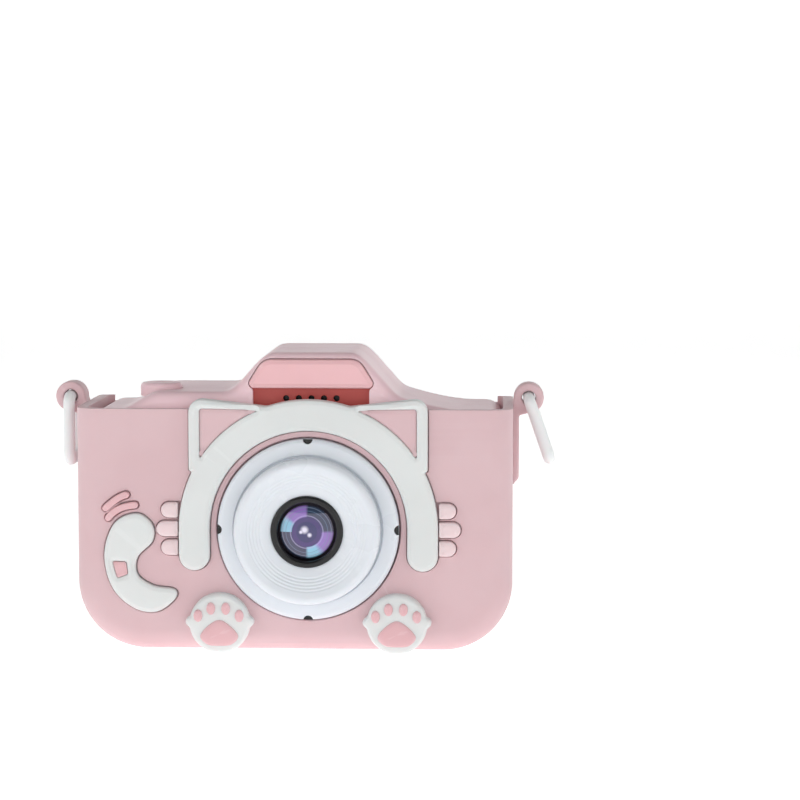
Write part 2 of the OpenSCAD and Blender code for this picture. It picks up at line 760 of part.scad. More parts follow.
module card_socket() color(metal_grey) difference() {
    box(card_x - 7, card_x + 7, card_y - 0.5, main_y, 7.2, 19.5);
    box(card_x - card_w / 2 - 0.15, card_x + card_w / 2 + 0.15, card_y - 0.12, card_y + card_t + 0.12, 7, card_low_z + card_len + 0.2);
}

module memory_card() color(black_part)
    box(card_x - card_w / 2, card_x + card_w / 2, card_y, card_y + card_t, card_low_z, card_low_z + card_len);

module shell_screws() color([0.3, 0.2, 0.17]) for (at = screw_at) {
    disc_y(at, screw_head_r, shell_rear_y - 1.6, shell_rear_y - 0.5);
    disc_y(at, screw_shank_r, 0.1, shell_rear_y - 1.6);
    disc_y(at, 0.6, -8, 0.1);
}

module board_screws() color(metal_grey) for (x = [-15.5, 31.8], z = [9.5, 40.8]) {
    disc_y([x, z], 1.4, main_y - 0.8, main_y);
}

// ---------------------------------------------------------------- strap lugs and rings

module lug(side) color(silicone_pink) along_y(-lug_len / 2, lug_len / 2) scale([side, 1]) difference() {
    union() {
        translate([lug_x, lug_z]) circle(lug_r);
        polygon([[case_w / 2, strip_low_z], [case_w / 2 + strip_t, strip_low_z + 1.5], [case_w / 2 + strip_t, 45],
            [lug_x, lug_z - lug_r], [lug_x, lug_z], [lug_x - lug_r + 0.1, lug_z], [case_w / 2, case_h]]);
    }
    translate([lug_x, lug_z]) circle(lug_bore_r);
}
module strap_lug_left() lug(-1);
module strap_lug_right() lug(1);

// Ring that hangs from its pivot in the Y-Z plane
module ring() {
    bend_y = ring_w / 2 - ring_bend_r;
    for (z = [0, -ring_h]) translate([0, -bend_y, z]) rotate([-90, 0, 0]) cylinder(r = ring_wire_r, h = 2 * bend_y);
    for (side = [-1, 1]) {
        translate([0, side * ring_w / 2, -ring_h + ring_bend_r]) cylinder(r = ring_wire_r, h = ring_h - 2 * ring_bend_r);
        for (end = [0, 1]) translate([0, side * bend_y, end ? -ring_h + ring_bend_r : -ring_bend_r])
            rotate([0, 90, 0]) rotate([0, 0, side > 0 ? (end ? 0 : 90) : (end ? 270 : 180)])
                rotate_extrude(angle = 90) translate([ring_bend_r, 0]) circle(ring_wire_r);
    }
}

module strap_ring_left() color(inlay_white) translate([-lug_x, 0, lug_z]) ring();
module strap_ring_right() color(inlay_white) translate([lug_x, 0, lug_z]) rotate([0, -ring_right_tilt, 0]) ring();

silicone_case();
cat_face();
ear_inlays();
whiskers();
tail_inlay();
tail_patch();
swish_marks();
paw_left();
paw_right();
paw_pads();
front_shell();
rear_shell();
hood_panel();
speaker_grille();
lens_base_ring();
lens_barrel();
lens_trim_ring();
lens_front_glass();
lens_holder();
lens_elements();
image_sensor_board();
camera_flex();
main_board();
button_board();
button_switches();
battery();
speaker();
microphone();
display_panel();
display_window();
display_flex();
selfie_window();
selfie_lens();
selfie_camera_module();
shutter_button();
shutter_switch();
power_button();
up_button();
left_button();
right_button();
down_button();
usb_port();
card_socket();
memory_card();
shell_screws();
board_screws();
strap_lug_left();
strap_lug_right();
strap_ring_left();
strap_ring_right();
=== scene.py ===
"""A children's digital camera in a cat-themed rubber case, dressed for a studio view.

Each sub-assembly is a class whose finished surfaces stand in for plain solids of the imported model, in the
model's own frame. Each finish is a frozen dataclass that builds one procedural material.
Outlines, profiles and dataclass sizes are in millimetres. Meshes, lamps and shaders are in metres.
"""

from __future__ import annotations

import logging
import math
from collections.abc import Callable
from dataclasses import dataclass, field
from enum import Enum

import bpy
import bmesh
import numpy as np
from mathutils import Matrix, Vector, geometry

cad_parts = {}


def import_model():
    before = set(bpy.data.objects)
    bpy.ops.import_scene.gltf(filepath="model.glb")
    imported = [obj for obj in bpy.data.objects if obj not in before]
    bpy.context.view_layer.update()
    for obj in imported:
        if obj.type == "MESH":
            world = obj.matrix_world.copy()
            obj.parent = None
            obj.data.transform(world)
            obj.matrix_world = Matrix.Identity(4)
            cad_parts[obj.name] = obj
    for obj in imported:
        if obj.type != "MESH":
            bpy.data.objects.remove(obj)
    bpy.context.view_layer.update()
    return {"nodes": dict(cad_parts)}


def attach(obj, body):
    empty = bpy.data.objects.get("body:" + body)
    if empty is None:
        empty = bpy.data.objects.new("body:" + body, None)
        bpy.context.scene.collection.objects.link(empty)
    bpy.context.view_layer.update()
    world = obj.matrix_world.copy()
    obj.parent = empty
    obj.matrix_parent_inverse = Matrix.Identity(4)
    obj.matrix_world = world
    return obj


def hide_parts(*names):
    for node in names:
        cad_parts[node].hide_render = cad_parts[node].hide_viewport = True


log = logging.getLogger("camera")

MM = 0.001
ROOT = "camera_body"
Color = tuple[float, float, float]
SIDES = (-1, 1)
SMOOTH_ANGLE = 40.0


class Facing(Enum):
    """The way a flat panel faces along Y."""

    FRONT = -1
    BACK = 1


# ---------------------------------------------------------------------------------------------- curves


def arc(centre: tuple[float, float], radius: float, start: float, end: float, step: float = 0.35) -> np.ndarray:
    """Points on a circular arc, evenly spaced by angle.

    Args:
        centre: middle of the circle.
        radius: its radius.
        start: first angle in degrees.
        end: last angle in degrees.
        step: greatest distance between two points.

    Returns:
        An array of points, (n, 2).
    """
    count = max(int(math.ceil(math.radians(abs(end - start)) * radius / step)), 3)
    angle = np.radians(np.linspace(start, end, count + 1))
    return np.column_stack((centre[0] + radius * np.cos(angle), centre[1] + radius * np.sin(angle)))


def round_corners(points: list[tuple[float, float]], radii: list[float], step: float = 0.35) -> np.ndarray:
    """A closed polygon, counter-clockwise, whose corners are arcs tangent to both of their sides.

    Args:
        points: the corners.
        radii: each corner's radius, 0 where it stays sharp.
        step: greatest distance between two points of an arc.

    Returns:
        The rounded outline, (n, 2).
    """
    p = np.array(points, float)
    parts = []
    for i, radius in enumerate(radii):
        if radius <= 0:
            parts.append(p[i : i + 1])
            continue
        a, b = p[i - 1] - p[i], p[(i + 1) % len(p)] - p[i]
        a, b = a / np.linalg.norm(a), b / np.linalg.norm(b)
        half = math.acos(float(np.clip(a @ b, -1, 1))) / 2
        middle = p[i] + (a + b) / np.linalg.norm(a + b) * radius / math.sin(half)
        hollow = a[0] * b[1] - a[1] * b[0] > 0
        start = math.degrees(math.atan2(-a[0], a[1]) if hollow else math.atan2(a[0], -a[1]))
        turn = 180 - 2 * math.degrees(half)
        parts.append(arc(tuple(middle), radius, start, start - turn if hollow else start + turn, step))
    return np.vstack(parts)


def closed_curve(points: list[tuple[float, float]], steps: int = 8) -> np.ndarray:
    """A closed Catmull-Rom curve: between two points it is the cubic that leaves each one along its neighbours.

    Args:
        points: the points it passes through.
        steps: points made from each span.

    Returns:
        The curve, (n, 2).
    """
    b = np.array(points, float)
    a, c, d = np.roll(b, 1, 0), np.roll(b, -1, 0), np.roll(b, -2, 0)
    t = (np.arange(steps) / steps)[None, :, None]
    a, b, c, d = (q[:, None, :] for q in (a, b, c, d))
    cubic = 2 * b + (c - a) * t + (2 * a - 5 * b + 4 * c - d) * t**2 + (3 * b - a - 3 * c + d) * t**3
    return (0.5 * cubic).reshape(-1, 2)


def even(path: np.ndarray, step: float) -> np.ndarray:
    """A closed path again, with its points at an even distance.

    Args:
        path: the closed path.
        step: about how far apart the new points are.

    Returns:
        The new path.
    """
    closed = np.vstack((path, path[:1]))
    along = np.concatenate(([0], np.cumsum(np.linalg.norm(np.diff(closed, axis=0), axis=1))))
    keep = np.concatenate(([True], np.diff(along) > 1e-9))
    closed, along = closed[keep], along[keep]
    at = np.linspace(0, along[-1], max(int(round(along[-1] / step)), 8), endpoint=False)
    return np.column_stack([np.interp(at, along, closed[:, k]) for k in range(path.shape[1])])


def soften(path: np.ndarray, passes: int) -> np.ndarray:
    """Rounds the corners of a closed path by drawing each point toward its neighbours' middle, again and again."""
    for _ in range(passes):
        path = path * 0.5 + (np.roll(path, 1, 0) + np.roll(path, -1, 0)) * 0.25
    return path


def grow(path: np.ndarray, distance: float) -> np.ndarray:
    """Moves a closed counter-clockwise path outward along its normals; a negative distance moves it inward."""
    along = np.roll(path, -1, 0) - np.roll(path, 1, 0)
    along /= np.maximum(np.linalg.norm(along, axis=1, keepdims=True), 1e-9)
    return path + distance * np.column_stack((along[:, 1], -along[:, 0]))


def circle(centre: tuple[float, float], radius: float, step: float = 0.35) -> np.ndarray:
    """A closed circle, counter-clockwise."""
    return arc(centre, radius, 0, 360, step)[:-1]


def rounded_rect(centre: tuple[float, float], width: float, height: float, radius: float) -> np.ndarray:
    """A closed rectangle with round corners, counter-clockwise."""
    x, z = width / 2, height / 2
    corners = [(-x, -z), (x, -z), (x, z), (-x, z)]
    return round_corners([(centre[0] + a, centre[1] + b) for a, b in corners], [radius] * 4, 0.25)


def smooth_step(t: np.ndarray) -> np.ndarray:
    """Blends from 0 to 1 with level ends."""
    t = np.clip(t, 0, 1)
    return t * t * (3 - 2 * t)


def quarter(count: int) -> np.ndarray:
    """Angles of a quarter turn, in radians, both ends included."""
    return np.linspace(0, math.pi / 2, count + 1)


def full_turn(count: int) -> np.ndarray:
    """Angles of a full turn, in radians, the end left out."""
    return np.linspace(0, 2 * math.pi, count, endpoint=False)


def corner(r: float, y: float, inward: float, rise: float, count: int = 6) -> list[tuple[float, float]]:
    """The rounded edge of a turned profile, a quarter ellipse from its side to its face.

    Args:
        r: radius at the side.
        y: where along the axis the edge starts.
        inward: how far it reaches toward the axis.
        rise: how far it reaches along the axis.
        count: steps along it.

    Returns:
        Its points after the first one.
    """
    return [(r - inward * (1 - math.cos(a)), y + rise * math.sin(a)) for a in quarter(count)[1:]]


def inside(points: np.ndarray, loop: np.ndarray) -> np.ndarray:
    """Tells which points a closed path encloses: a line to their right crosses it an odd number of times."""
    a, b = loop, np.roll(loop, -1, 0)
    x, z = points[:, 0:1], points[:, 1:2]
    straddles = (a[:, 1] > z) != (b[:, 1] > z)
    rise = np.where(straddles, b[:, 1] - a[:, 1], 1)
    cross = a[:, 0] + (z - a[:, 1]) / rise * (b - a)[:, 0]
    return (straddles & (x < cross)).sum(axis=1) % 2 == 1


def triangles(loops: list[np.ndarray]) -> tuple[np.ndarray, np.ndarray]:
    """Triangles whose edges include every edge of the loops: their points, and their corners."""
    edges, first = [], 0
    for loop in loops:
        row = np.arange(len(loop))
        edges += np.column_stack((first + row, first + (row + 1) % len(loop))).tolist()
        first += len(loop)
    made = geometry.delaunay_2d_cdt([Vector(p) for p in np.vstack(loops)], edges, [], 0, 1e-6)
    return np.array([tuple(v) for v in made[0]]), np.array([tuple(f) for f in made[2]])


def combine(add: list[np.ndarray], take: list[np.ndarray] | None = None) -> list[np.ndarray]:
    """The outlines of the area inside any of some loops and outside some others.

    Args:
        add: loops whose insides count.
        take: loops whose insides don't.

    Returns:
        Closed counter-clockwise paths, the longest first.
    """
    take = take or []
    where, tris = triangles([*add, *take])
    middle = where[tris].mean(axis=1)
    keep = np.any([inside(middle, loop) for loop in add], axis=0)
    for loop in take:
        keep &= ~inside(middle, loop)
    p = where[tris[keep]]
    first, second = p[:, 1] - p[:, 0], p[:, 2] - p[:, 0]
    turn = first[:, 0] * second[:, 1] - first[:, 1] * second[:, 0]
    kept = np.where(turn[:, None] > 0, tris[keep], tris[keep][:, ::-1])
    directed = {(int(t[i]), int(t[(i + 1) % 3])) for t in kept for i in range(3)}
    follow = {a: b for a, b in directed if (b, a) not in directed}
    loops = []
    while follow:
        start, at = next(iter(follow.items()))
        del follow[start]
        chain = [start]
        while at != start and at in follow:
            chain.append(at)
            at = follow.pop(at)
        loops.append(where[chain])
    return sorted(loops, key=lambda q: -np.linalg.norm(q - np.roll(q, 1, 0), axis=1).sum())


def ccw(path: np.ndarray) -> np.ndarray:
    """The same closed path, counter-clockwise."""
    nxt = np.roll(path, -1, 0)
    area = (path[:, 0] * nxt[:, 1] - nxt[:, 0] * path[:, 1]).sum()
    return path if area > 0 else path[::-1]


def mirrored(path: np.ndarray, side: int) -> np.ndarray:
    """A path about X = 0, swapped left for right where the side is -1."""
    return path if side > 0 else (path * (-1, 1))[::-1]


def ribbon(points: tuple[tuple[float, float], ...], half: float) -> np.ndarray:
    """Outline of a bent line with round ends: the line is the parabola through its three points.

    Args:
        points: start, middle and end.
        half: half of its width.

    Returns:
        The closed outline.
    """
    a, b, c = np.array(points, float)
    t = np.linspace(0, 1, 25)[:, None]
    line = (1 - t) ** 2 * a + 2 * t * (1 - t) * (2 * b - (a + c) / 2) + t**2 * c
    along = np.gradient(line, axis=0)
    along /= np.linalg.norm(along, axis=1, keepdims=True)
    side = half * np.column_stack((along[:, 1], -along[:, 0]))
    first, last = (math.degrees(math.atan2(*q[::-1])) for q in (along[0], along[-1]))
    far = arc(tuple(c), half, last - 90, last + 90, 0.1)[1:-1]
    near = arc(tuple(a), half, first + 90, first + 270, 0.1)[1:-1]
    return np.vstack((line + side, far, (line - side)[::-1], near))


# ---------------------------------------------------------------------------------------------- surfaces


@dataclass
class Surface:
    """Vertices and faces gathered from several patches, in millimetres, and turned into one mesh object."""

    points: list[np.ndarray] = field(default_factory=list)
    faces: list[list[int]] = field(default_factory=list)
    count: int = 0

    def add(self, points: np.ndarray) -> int:
        """Adds points and returns the index of the first one."""
        first = self.count
        self.points.append(points)
        self.count += len(points)
        return first

    def rings(self, rings: list[np.ndarray], caps: tuple[bool, bool] = (False, False)) -> None:
        """Joins rings of equal length into a closed band: each point meets the same point of the next ring.

        Args:
            rings: the rings, each (n, 3).
            caps: whether one face closes the first ring and the last.
        """
        n, m = len(rings[0]), len(rings)
        first = self.add(np.vstack(rings))
        row = np.arange(n)
        start = first + np.arange(m - 1)[:, None] * n
        a, b = start + row, start + (row + 1) % n
        self.faces += np.stack((a, b, b + n, a + n), axis=2).reshape(-1, 4).tolist()
        if caps[0]:
            self.faces.append((first + row[::-1]).tolist())
        if caps[1]:
            self.faces.append((first + (m - 1) * n + row).tolist())

    def fill(self, loops: list[np.ndarray], y: float) -> None:
        """Fills the flat area inside the first loop and outside the others with triangles between their points.

        Args:
            loops: closed paths in X and Z.
            y: where the flat area lies.
        """
        where, tris = triangles(loops)
        middle = where[tris].mean(axis=1)
        shown = np.zeros(len(tris), bool)
        for loop in loops:
            shown ^= inside(middle, loop)
        at = self.add(np.column_stack((where[:, 0], np.full(len(where), y), where[:, 1])))
        self.faces += (tris[shown] + at).tolist()

    def build(self, name: str, merge: float = 2e-4) -> bpy.types.Object:
        """Makes the object: doubles merged, faces outward, smooth up to an angle.

        Args:
            name: the piece's name.
            merge: distance in millimetres under which two points become one.

        Returns:
            The new object, linked to the scene.
        """
        mesh = bpy.data.meshes.new(name)
        mesh.from_pydata((np.vstack(self.points) * MM).tolist(), [], self.faces)
        work = bmesh.new()
        work.from_mesh(mesh)
        bmesh.ops.remove_doubles(work, verts=work.verts, dist=merge * MM)
        bmesh.ops.dissolve_degenerate(work, dist=merge * MM, edges=work.edges)
        bmesh.ops.recalc_face_normals(work, faces=work.faces)
        work.to_mesh(mesh)
        work.free()
        return finish_mesh(name, mesh)


def shade(mesh: bpy.types.Mesh) -> None:
    """Shades a mesh smooth, with its sharp edges kept."""
    mesh.polygons.foreach_set("use_smooth", np.ones(len(mesh.polygons), bool))
    mesh.set_sharp_from_angle(angle=math.radians(SMOOTH_ANGLE))


def finish_mesh(name: str, mesh: bpy.types.Mesh) -> bpy.types.Object:
    """Shades a mesh and links an object for it."""
    shade(mesh)
    mesh.update()
    piece = bpy.data.objects.new(name, mesh)
    bpy.context.scene.collection.objects.link(piece)
    return piece


def at_y(path: np.ndarray, y: float) -> np.ndarray:
    """Puts a path drawn in X and Z at a depth."""
    return np.column_stack((path[:, 0], np.full(len(path), y), path[:, 1]))


def at_z(path: np.ndarray, z: float) -> np.ndarray:
    """Puts a path drawn in X and Y at a height."""
    return np.column_stack((path[:, 0], path[:, 1], np.full(len(path), z)))


@dataclass
class Pocket:
    """A hollow sunk into a flat panel, with a rounded lip and, where wanted, smaller hollows in its floor."""

    loop: np.ndarray
    depth: float
    lip: float = 0.25
    inner: list["Pocket"] = field(default_factory=list)
    support: float = 0.05

    def outer(self) -> np.ndarray:
        """The loop at which the panel's flat area ends."""
        return grow(self.loop, self.lip + self.support)


def add_panel(surface: Surface, outer: np.ndarray, pockets: list[Pocket], y: float, facing: Facing) -> None:
    """Adds a flat panel with its pockets: the flat area, then each lip as a quarter circle, its wall and its floor.

    Args:
        surface: what the panel is added to.
        outer: the panel's closed outline.
        pockets: the hollows in it.
        y: the panel's depth in the model.
        facing: the way it faces.
    """
    surface.fill([outer] + [p.outer() for p in pockets], y)
    for pocket in pockets:
        rings = [at_y(pocket.outer(), y)]
        for a in quarter(4):
            out, down = pocket.lip * (1 - math.sin(a)), pocket.lip * (1 - math.cos(a))
            rings.append(at_y(grow(pocket.loop, out), y - facing.value * down))
        floor_y = y - facing.value * pocket.depth
        rings.append(at_y(pocket.loop, floor_y))
        surface.rings(rings)
        add_panel(surface, pocket.loop, pocket.inner, floor_y, facing)


def plate(
    name: str,
    outline: np.ndarray,
    back: float,
    front: float,
    edge: float,
    crown: float = 0.0,
    holes: list[np.ndarray] | None = None,
    both: bool = False,
) -> bpy.types.Object:
    """A plate whose shown edge is a quarter circle, and past it the face rises a little as a sine of the way in.

    Args:
        name: the piece's name.
        outline: closed path in X and Z.
        back: depth of its hidden face.
        front: depth of its shown face where the edge ends.
        edge: radius of its shown edge.
        crown: how far the face rises over the band inside the edge.
        holes: closed paths cut through the plate, with the same edge.
        both: whether the hidden face has that edge too.

    Returns:
        The piece.
    """
    surface = Surface()
    sign = 1 if front > back else -1
    width = 0.45 if crown else 0.06
    tops, bottoms = [], []
    for path, way in [(outline, -1)] + [(hole, 1) for hole in holes or []]:
        rings = []
        if both:
            for a in quarter(5)[::-1]:
                rings.append(at_y(grow(path, way * edge * (1 - math.cos(a))), back + sign * edge * (1 - math.sin(a))))
        else:
            rings.append(at_y(path, back))
        bottoms.append(rings[0][:, [0, 2]])
        for a in quarter(5):
            rings.append(at_y(grow(path, way * edge * (1 - math.cos(a))), front - sign * edge * (1 - math.sin(a))))
        for t in np.linspace(0.25, 1, 4 if crown else 1):
            rise = crown * math.sin(t * math.pi / 2)
            rings.append(at_y(grow(path, way * (edge + width * t)), front + sign * rise))
        surface.rings(rings)
        tops.append(rings[-1][:, [0, 2]])
    surface.fill(tops, front + sign * crown)
    surface.fill(bottoms, back)
    return surface.build(name)


def domed(
    name: str, outline: np.ndarray, centre: tuple[float, float], profile: list[tuple[float, float]]
) -> bpy.types.Object:
    """A raised piece that shrinks toward its centre: ring k is the outline scaled about the centre.

    Args:
        name: the piece's name.
        outline: closed path in X and Z, all of it in sight of the centre.
        centre: the point it shrinks to.
        profile: (scale, depth) of each ring from its hidden face to its middle; the ends are closed.

    Returns:
        The piece.
    """
    middle = np.array(centre)
    surface = Surface()
    rings = [at_y(middle + (outline - middle) * s, y) for s, y in profile]
    surface.rings(rings, caps=(True, True))
    return surface.build(name)


def turned(name: str, centre: tuple[float, float], profile: np.ndarray, segments: int) -> bpy.types.Object:
    """A closed profile of radius and depth, turned about an axis along Y.

    Args:
        name: the piece's name.
        centre: X and Z of the axis.
        profile: closed (radius, y) path, none of it across the axis.
        segments: points round the turn.

    Returns:
        The piece.
    """
    angle = full_turn(segments)
    r = profile[:, 0][:, None] * np.ones(segments)
    x = centre[0] + r * np.cos(angle)
    z = centre[1] + r * np.sin(angle)
    y = profile[:, 1][:, None] * np.ones(segments)
    rings = np.stack((x, y, z), axis=2)
    surface = Surface()
    surface.rings([*rings, rings[0]])
    return surface.build(name)


def upright(profile: list[tuple[float, float]], centre: tuple[float, float]) -> list[np.ndarray]:
    """Rings of a profile of radius and height, turned about an upright axis."""
    angle = full_turn(96)
    turn = np.column_stack((np.cos(angle), np.sin(angle)))
    return [at_z(centre + q * turn, z) for q, z in profile]


def tube(name: str, route: np.ndarray, radius: float, sides: int = 24) -> bpy.types.Object:
    """A round wire along a closed route that lies in one plane: each ring stands across the route.

    Args:
        name: the piece's name.
        route: closed route, (n, 3).
        radius: radius of the wire.
        sides: points round the wire.

    Returns:
        The piece.
    """
    along = np.roll(route, -1, 0) - np.roll(route, 1, 0)
    along /= np.linalg.norm(along, axis=1, keepdims=True)
    plane = np.cross(route[0] - route.mean(axis=0), along[0])
    plane /= np.linalg.norm(plane)
    across = np.cross(along, plane)
    angle = full_turn(sides)
    ring = np.cos(angle)[None, :, None] * across[:, None, :] + np.sin(angle)[None, :, None] * plane
    rings = route[:, None, :] + radius * ring
    surface = Surface()
    surface.rings([*rings, rings[0]])
    return surface.build(name)


def join(name: str, parts: list[bpy.types.Object]) -> bpy.types.Object:
    """Joins several objects into one that carries the name."""
    work = bmesh.new()
    for part in parts:
        work.from_mesh(part.data)
        bpy.data.objects.remove(part)
    mesh = bpy.data.meshes.new(name)
    work.to_mesh(mesh)
    work.free()
    return finish_mesh(name, mesh)


def cut(target: bpy.types.Object, cutters: list[bpy.types.Object]) -> None:
    """Takes closed cutters out of the target, one by one, and removes them."""
    for cutter in cutters:
        step = target.modifiers.new("cut", "BOOLEAN")
        step.operation = "DIFFERENCE"
        step.solver = "EXACT"
        step.object = cutter
        bake_modifiers(target)
        bpy.data.objects.remove(cutter)
    shade(target.data)


def round_edges(target: bpy.types.Object, width: float, chosen: Callable[[np.ndarray], bool]) -> None:
    """Rounds the sharp edges whose ends are both chosen.

    Args:
        target: the object.
        width: how far the rounding reaches, in millimetres.
        chosen: tells whether a point, in millimetres, is on an edge to round.
    """
    work = bmesh.new()
    work.from_mesh(target.data)
    bmesh.ops.remove_doubles(work, verts=work.verts, dist=0.002 * MM)
    bmesh.ops.dissolve_degenerate(work, dist=0.002 * MM, edges=work.edges)
    sharp = [
        e
        for e in work.edges
        if len(e.link_faces) == 2
        and e.calc_face_angle(0) > math.radians(SMOOTH_ANGLE)
        and all(chosen(np.array(v.co) / MM) for v in e.verts)
    ]
    bmesh.ops.bevel(work, geom=sharp, offset=width * MM, segments=3, profile=0.5, affect="EDGES", clamp_overlap=True)
    bmesh.ops.recalc_face_normals(work, faces=work.faces)
    work.to_mesh(target.data)
    work.free()
    shade(target.data)


def bake_modifiers(target: bpy.types.Object) -> None:
    """Replaces a mesh with what its modifiers make of it, and drops them."""
    graph = bpy.context.evaluated_depsgraph_get()
    made = bpy.data.meshes.new_from_object(target.evaluated_get(graph))
    target.modifiers.clear()
    target.data = made


def block(name: str, rings: list[np.ndarray]) -> bpy.types.Object:
    """A closed solid through rings, with flat ends."""
    surface = Surface()
    surface.rings(rings, caps=(True, True))
    return surface.build(name)


def prism(name: str, outline: np.ndarray, y0: float, y1: float) -> bpy.types.Object:
    """A closed outline carried straight from one depth to another."""
    return block(name, [at_y(outline, y0), at_y(outline, y1)])


# ---------------------------------------------------------------------------------------------- outlines


LENS = np.array((3.0, 24.2))
DISPLAY = (4.2, 26.2)
SELFIE = (4.9, 51.4)


@dataclass(frozen=True)
class Silhouette:
    """The body's outline in X and Z: round lower corners, falling shoulders and a hump off its middle."""

    half: float = 40.4
    floor: float = 2.1
    corner: float = 11.4
    top_corner: float = 3.4
    corner_z: float = 46.9
    shoulder_z: float = 50.5
    hump_z: float = 58.2
    hump_x: float = 3.6
    foot: float = 17.5
    top: float = 7.5

    def top_z(self, x: np.ndarray) -> np.ndarray:
        """Height of the body at x: the shoulder, raised toward the hump by a blend with level ends."""
        fall = self.shoulder_z - self.corner_z
        left = self.shoulder_z - fall * smooth_step((-x - 26) / 9)
        right = self.corner_z + fall * (1 - np.clip((x - 18) / 16, 0, 1)) ** 1.6
        shoulder = np.where(x < 0, left, right)
        return shoulder + (self.hump_z - shoulder) * smooth_step(
            (self.foot - np.abs(x - self.hump_x)) / (self.foot - self.top)
        )

    def outline(self) -> np.ndarray:
        """The closed outline with evenly spaced points."""
        low, low_x = self.floor + self.corner, self.half - self.corner
        high, high_x = self.corner_z - self.top_corner, self.half - self.top_corner
        x = np.arange(36, -36.1, -0.5)
        path = np.vstack(
            (
                arc((-low_x, low), self.corner, 180, 270),
                arc((low_x, low), self.corner, 270, 360),
                arc((high_x, high), self.top_corner, 0, 90),
                np.column_stack((x, self.top_z(x))),
                arc((-high_x, high), self.top_corner, 90, 180),
            )
        )
        return soften(even(path, 0.5), 2)


@dataclass(frozen=True)
class CatFace:
    """Outlines of the cat's face, ears and whiskers about the lens axis."""

    outer: float = 25.1
    inner: float = 19.15
    leg_drop: float = 8.1
    ear_outer: float = 23.1
    ear_top: float = 25.5
    rim: float = 2.2
    meet: tuple[float, float] = (8, 23.8)
    whisker_h: float = 3.0
    tips: tuple[tuple[float, float], ...] = ((28.6, 3.65), (29.5, 0), (28.6, -3.65))

    def arch(self, gap: float) -> np.ndarray:
        """The arch with its two round-ended legs."""
        middle, leg = (self.outer + self.inner) / 2, (self.outer - self.inner) / 2
        low = leg - self.leg_drop
        return np.vstack(
            (
                arc((0, 0), self.outer + gap, 0, 180),
                arc((-middle, low), leg + gap, 180, 360),
                arc((0, 0), self.inner - gap, 180, 0),
                arc((middle, low), leg + gap, 180, 360),
            )
        )

    def ear(self, side: int, gap: float) -> np.ndarray:
        """One ear, which runs into the arch."""
        path = round_corners(
            [(self.ear_outer, 11.3), (self.ear_outer, self.ear_top), self.meet, (8, 20.6), (19.5, 11)],
            [0, 2.5, 0, 0, 0],
        )
        return mirrored(grow(even(path, 0.3), gap), side)

    def inner_ear(self, side: int, gap: float) -> np.ndarray:
        """The pink part of one ear, outside the arch."""
        x, top = self.ear_outer - self.rim, self.ear_top - self.rim
        path = np.array([(x, 12.6), (x, top), (self.meet[0] + 1.5, self.meet[1] - 0.7), (14, 15)])
        loop = combine([even(path, 0.3)], [circle((0, 0), self.outer)])[0]
        return mirrored(grow(soften(even(ccw(loop), 0.2), 3), gap), side)

    def face(self, gap: float) -> np.ndarray:
        """Arch and ears as one outline."""
        loop = combine([self.arch(gap), self.ear(1, gap), self.ear(-1, gap)])[0]
        return soften(even(ccw(loop), 0.25), 3)

    def whisker(self, tip: tuple[float, float], side: int, gap: float, start: float) -> np.ndarray:
        """One whisker, a bar with a round tip, from a distance beside the lens axis."""
        half = self.whisker_h / 2 + gap
        end = tip[0] - self.whisker_h / 2
        path = np.vstack(([[start, tip[1] + half], [start, tip[1] - half]], arc((end, tip[1]), half, -90, 90, 0.2)))
        return mirrored(path, side)

    def hollow(self, gap: float) -> np.ndarray:
        """Face and whiskers as one outline, for the hollow that they lie in."""
        bars = [self.whisker(tip, side, gap, self.outer - 2) for tip in self.tips for side in SIDES]
        loop = combine([self.arch(gap), self.ear(1, gap), self.ear(-1, gap), *bars])[0]
        return soften(even(ccw(loop), 0.2), 1)


# ---------------------------------------------------------------------------------------------- node graphs


Socket = bpy.types.NodeSocket


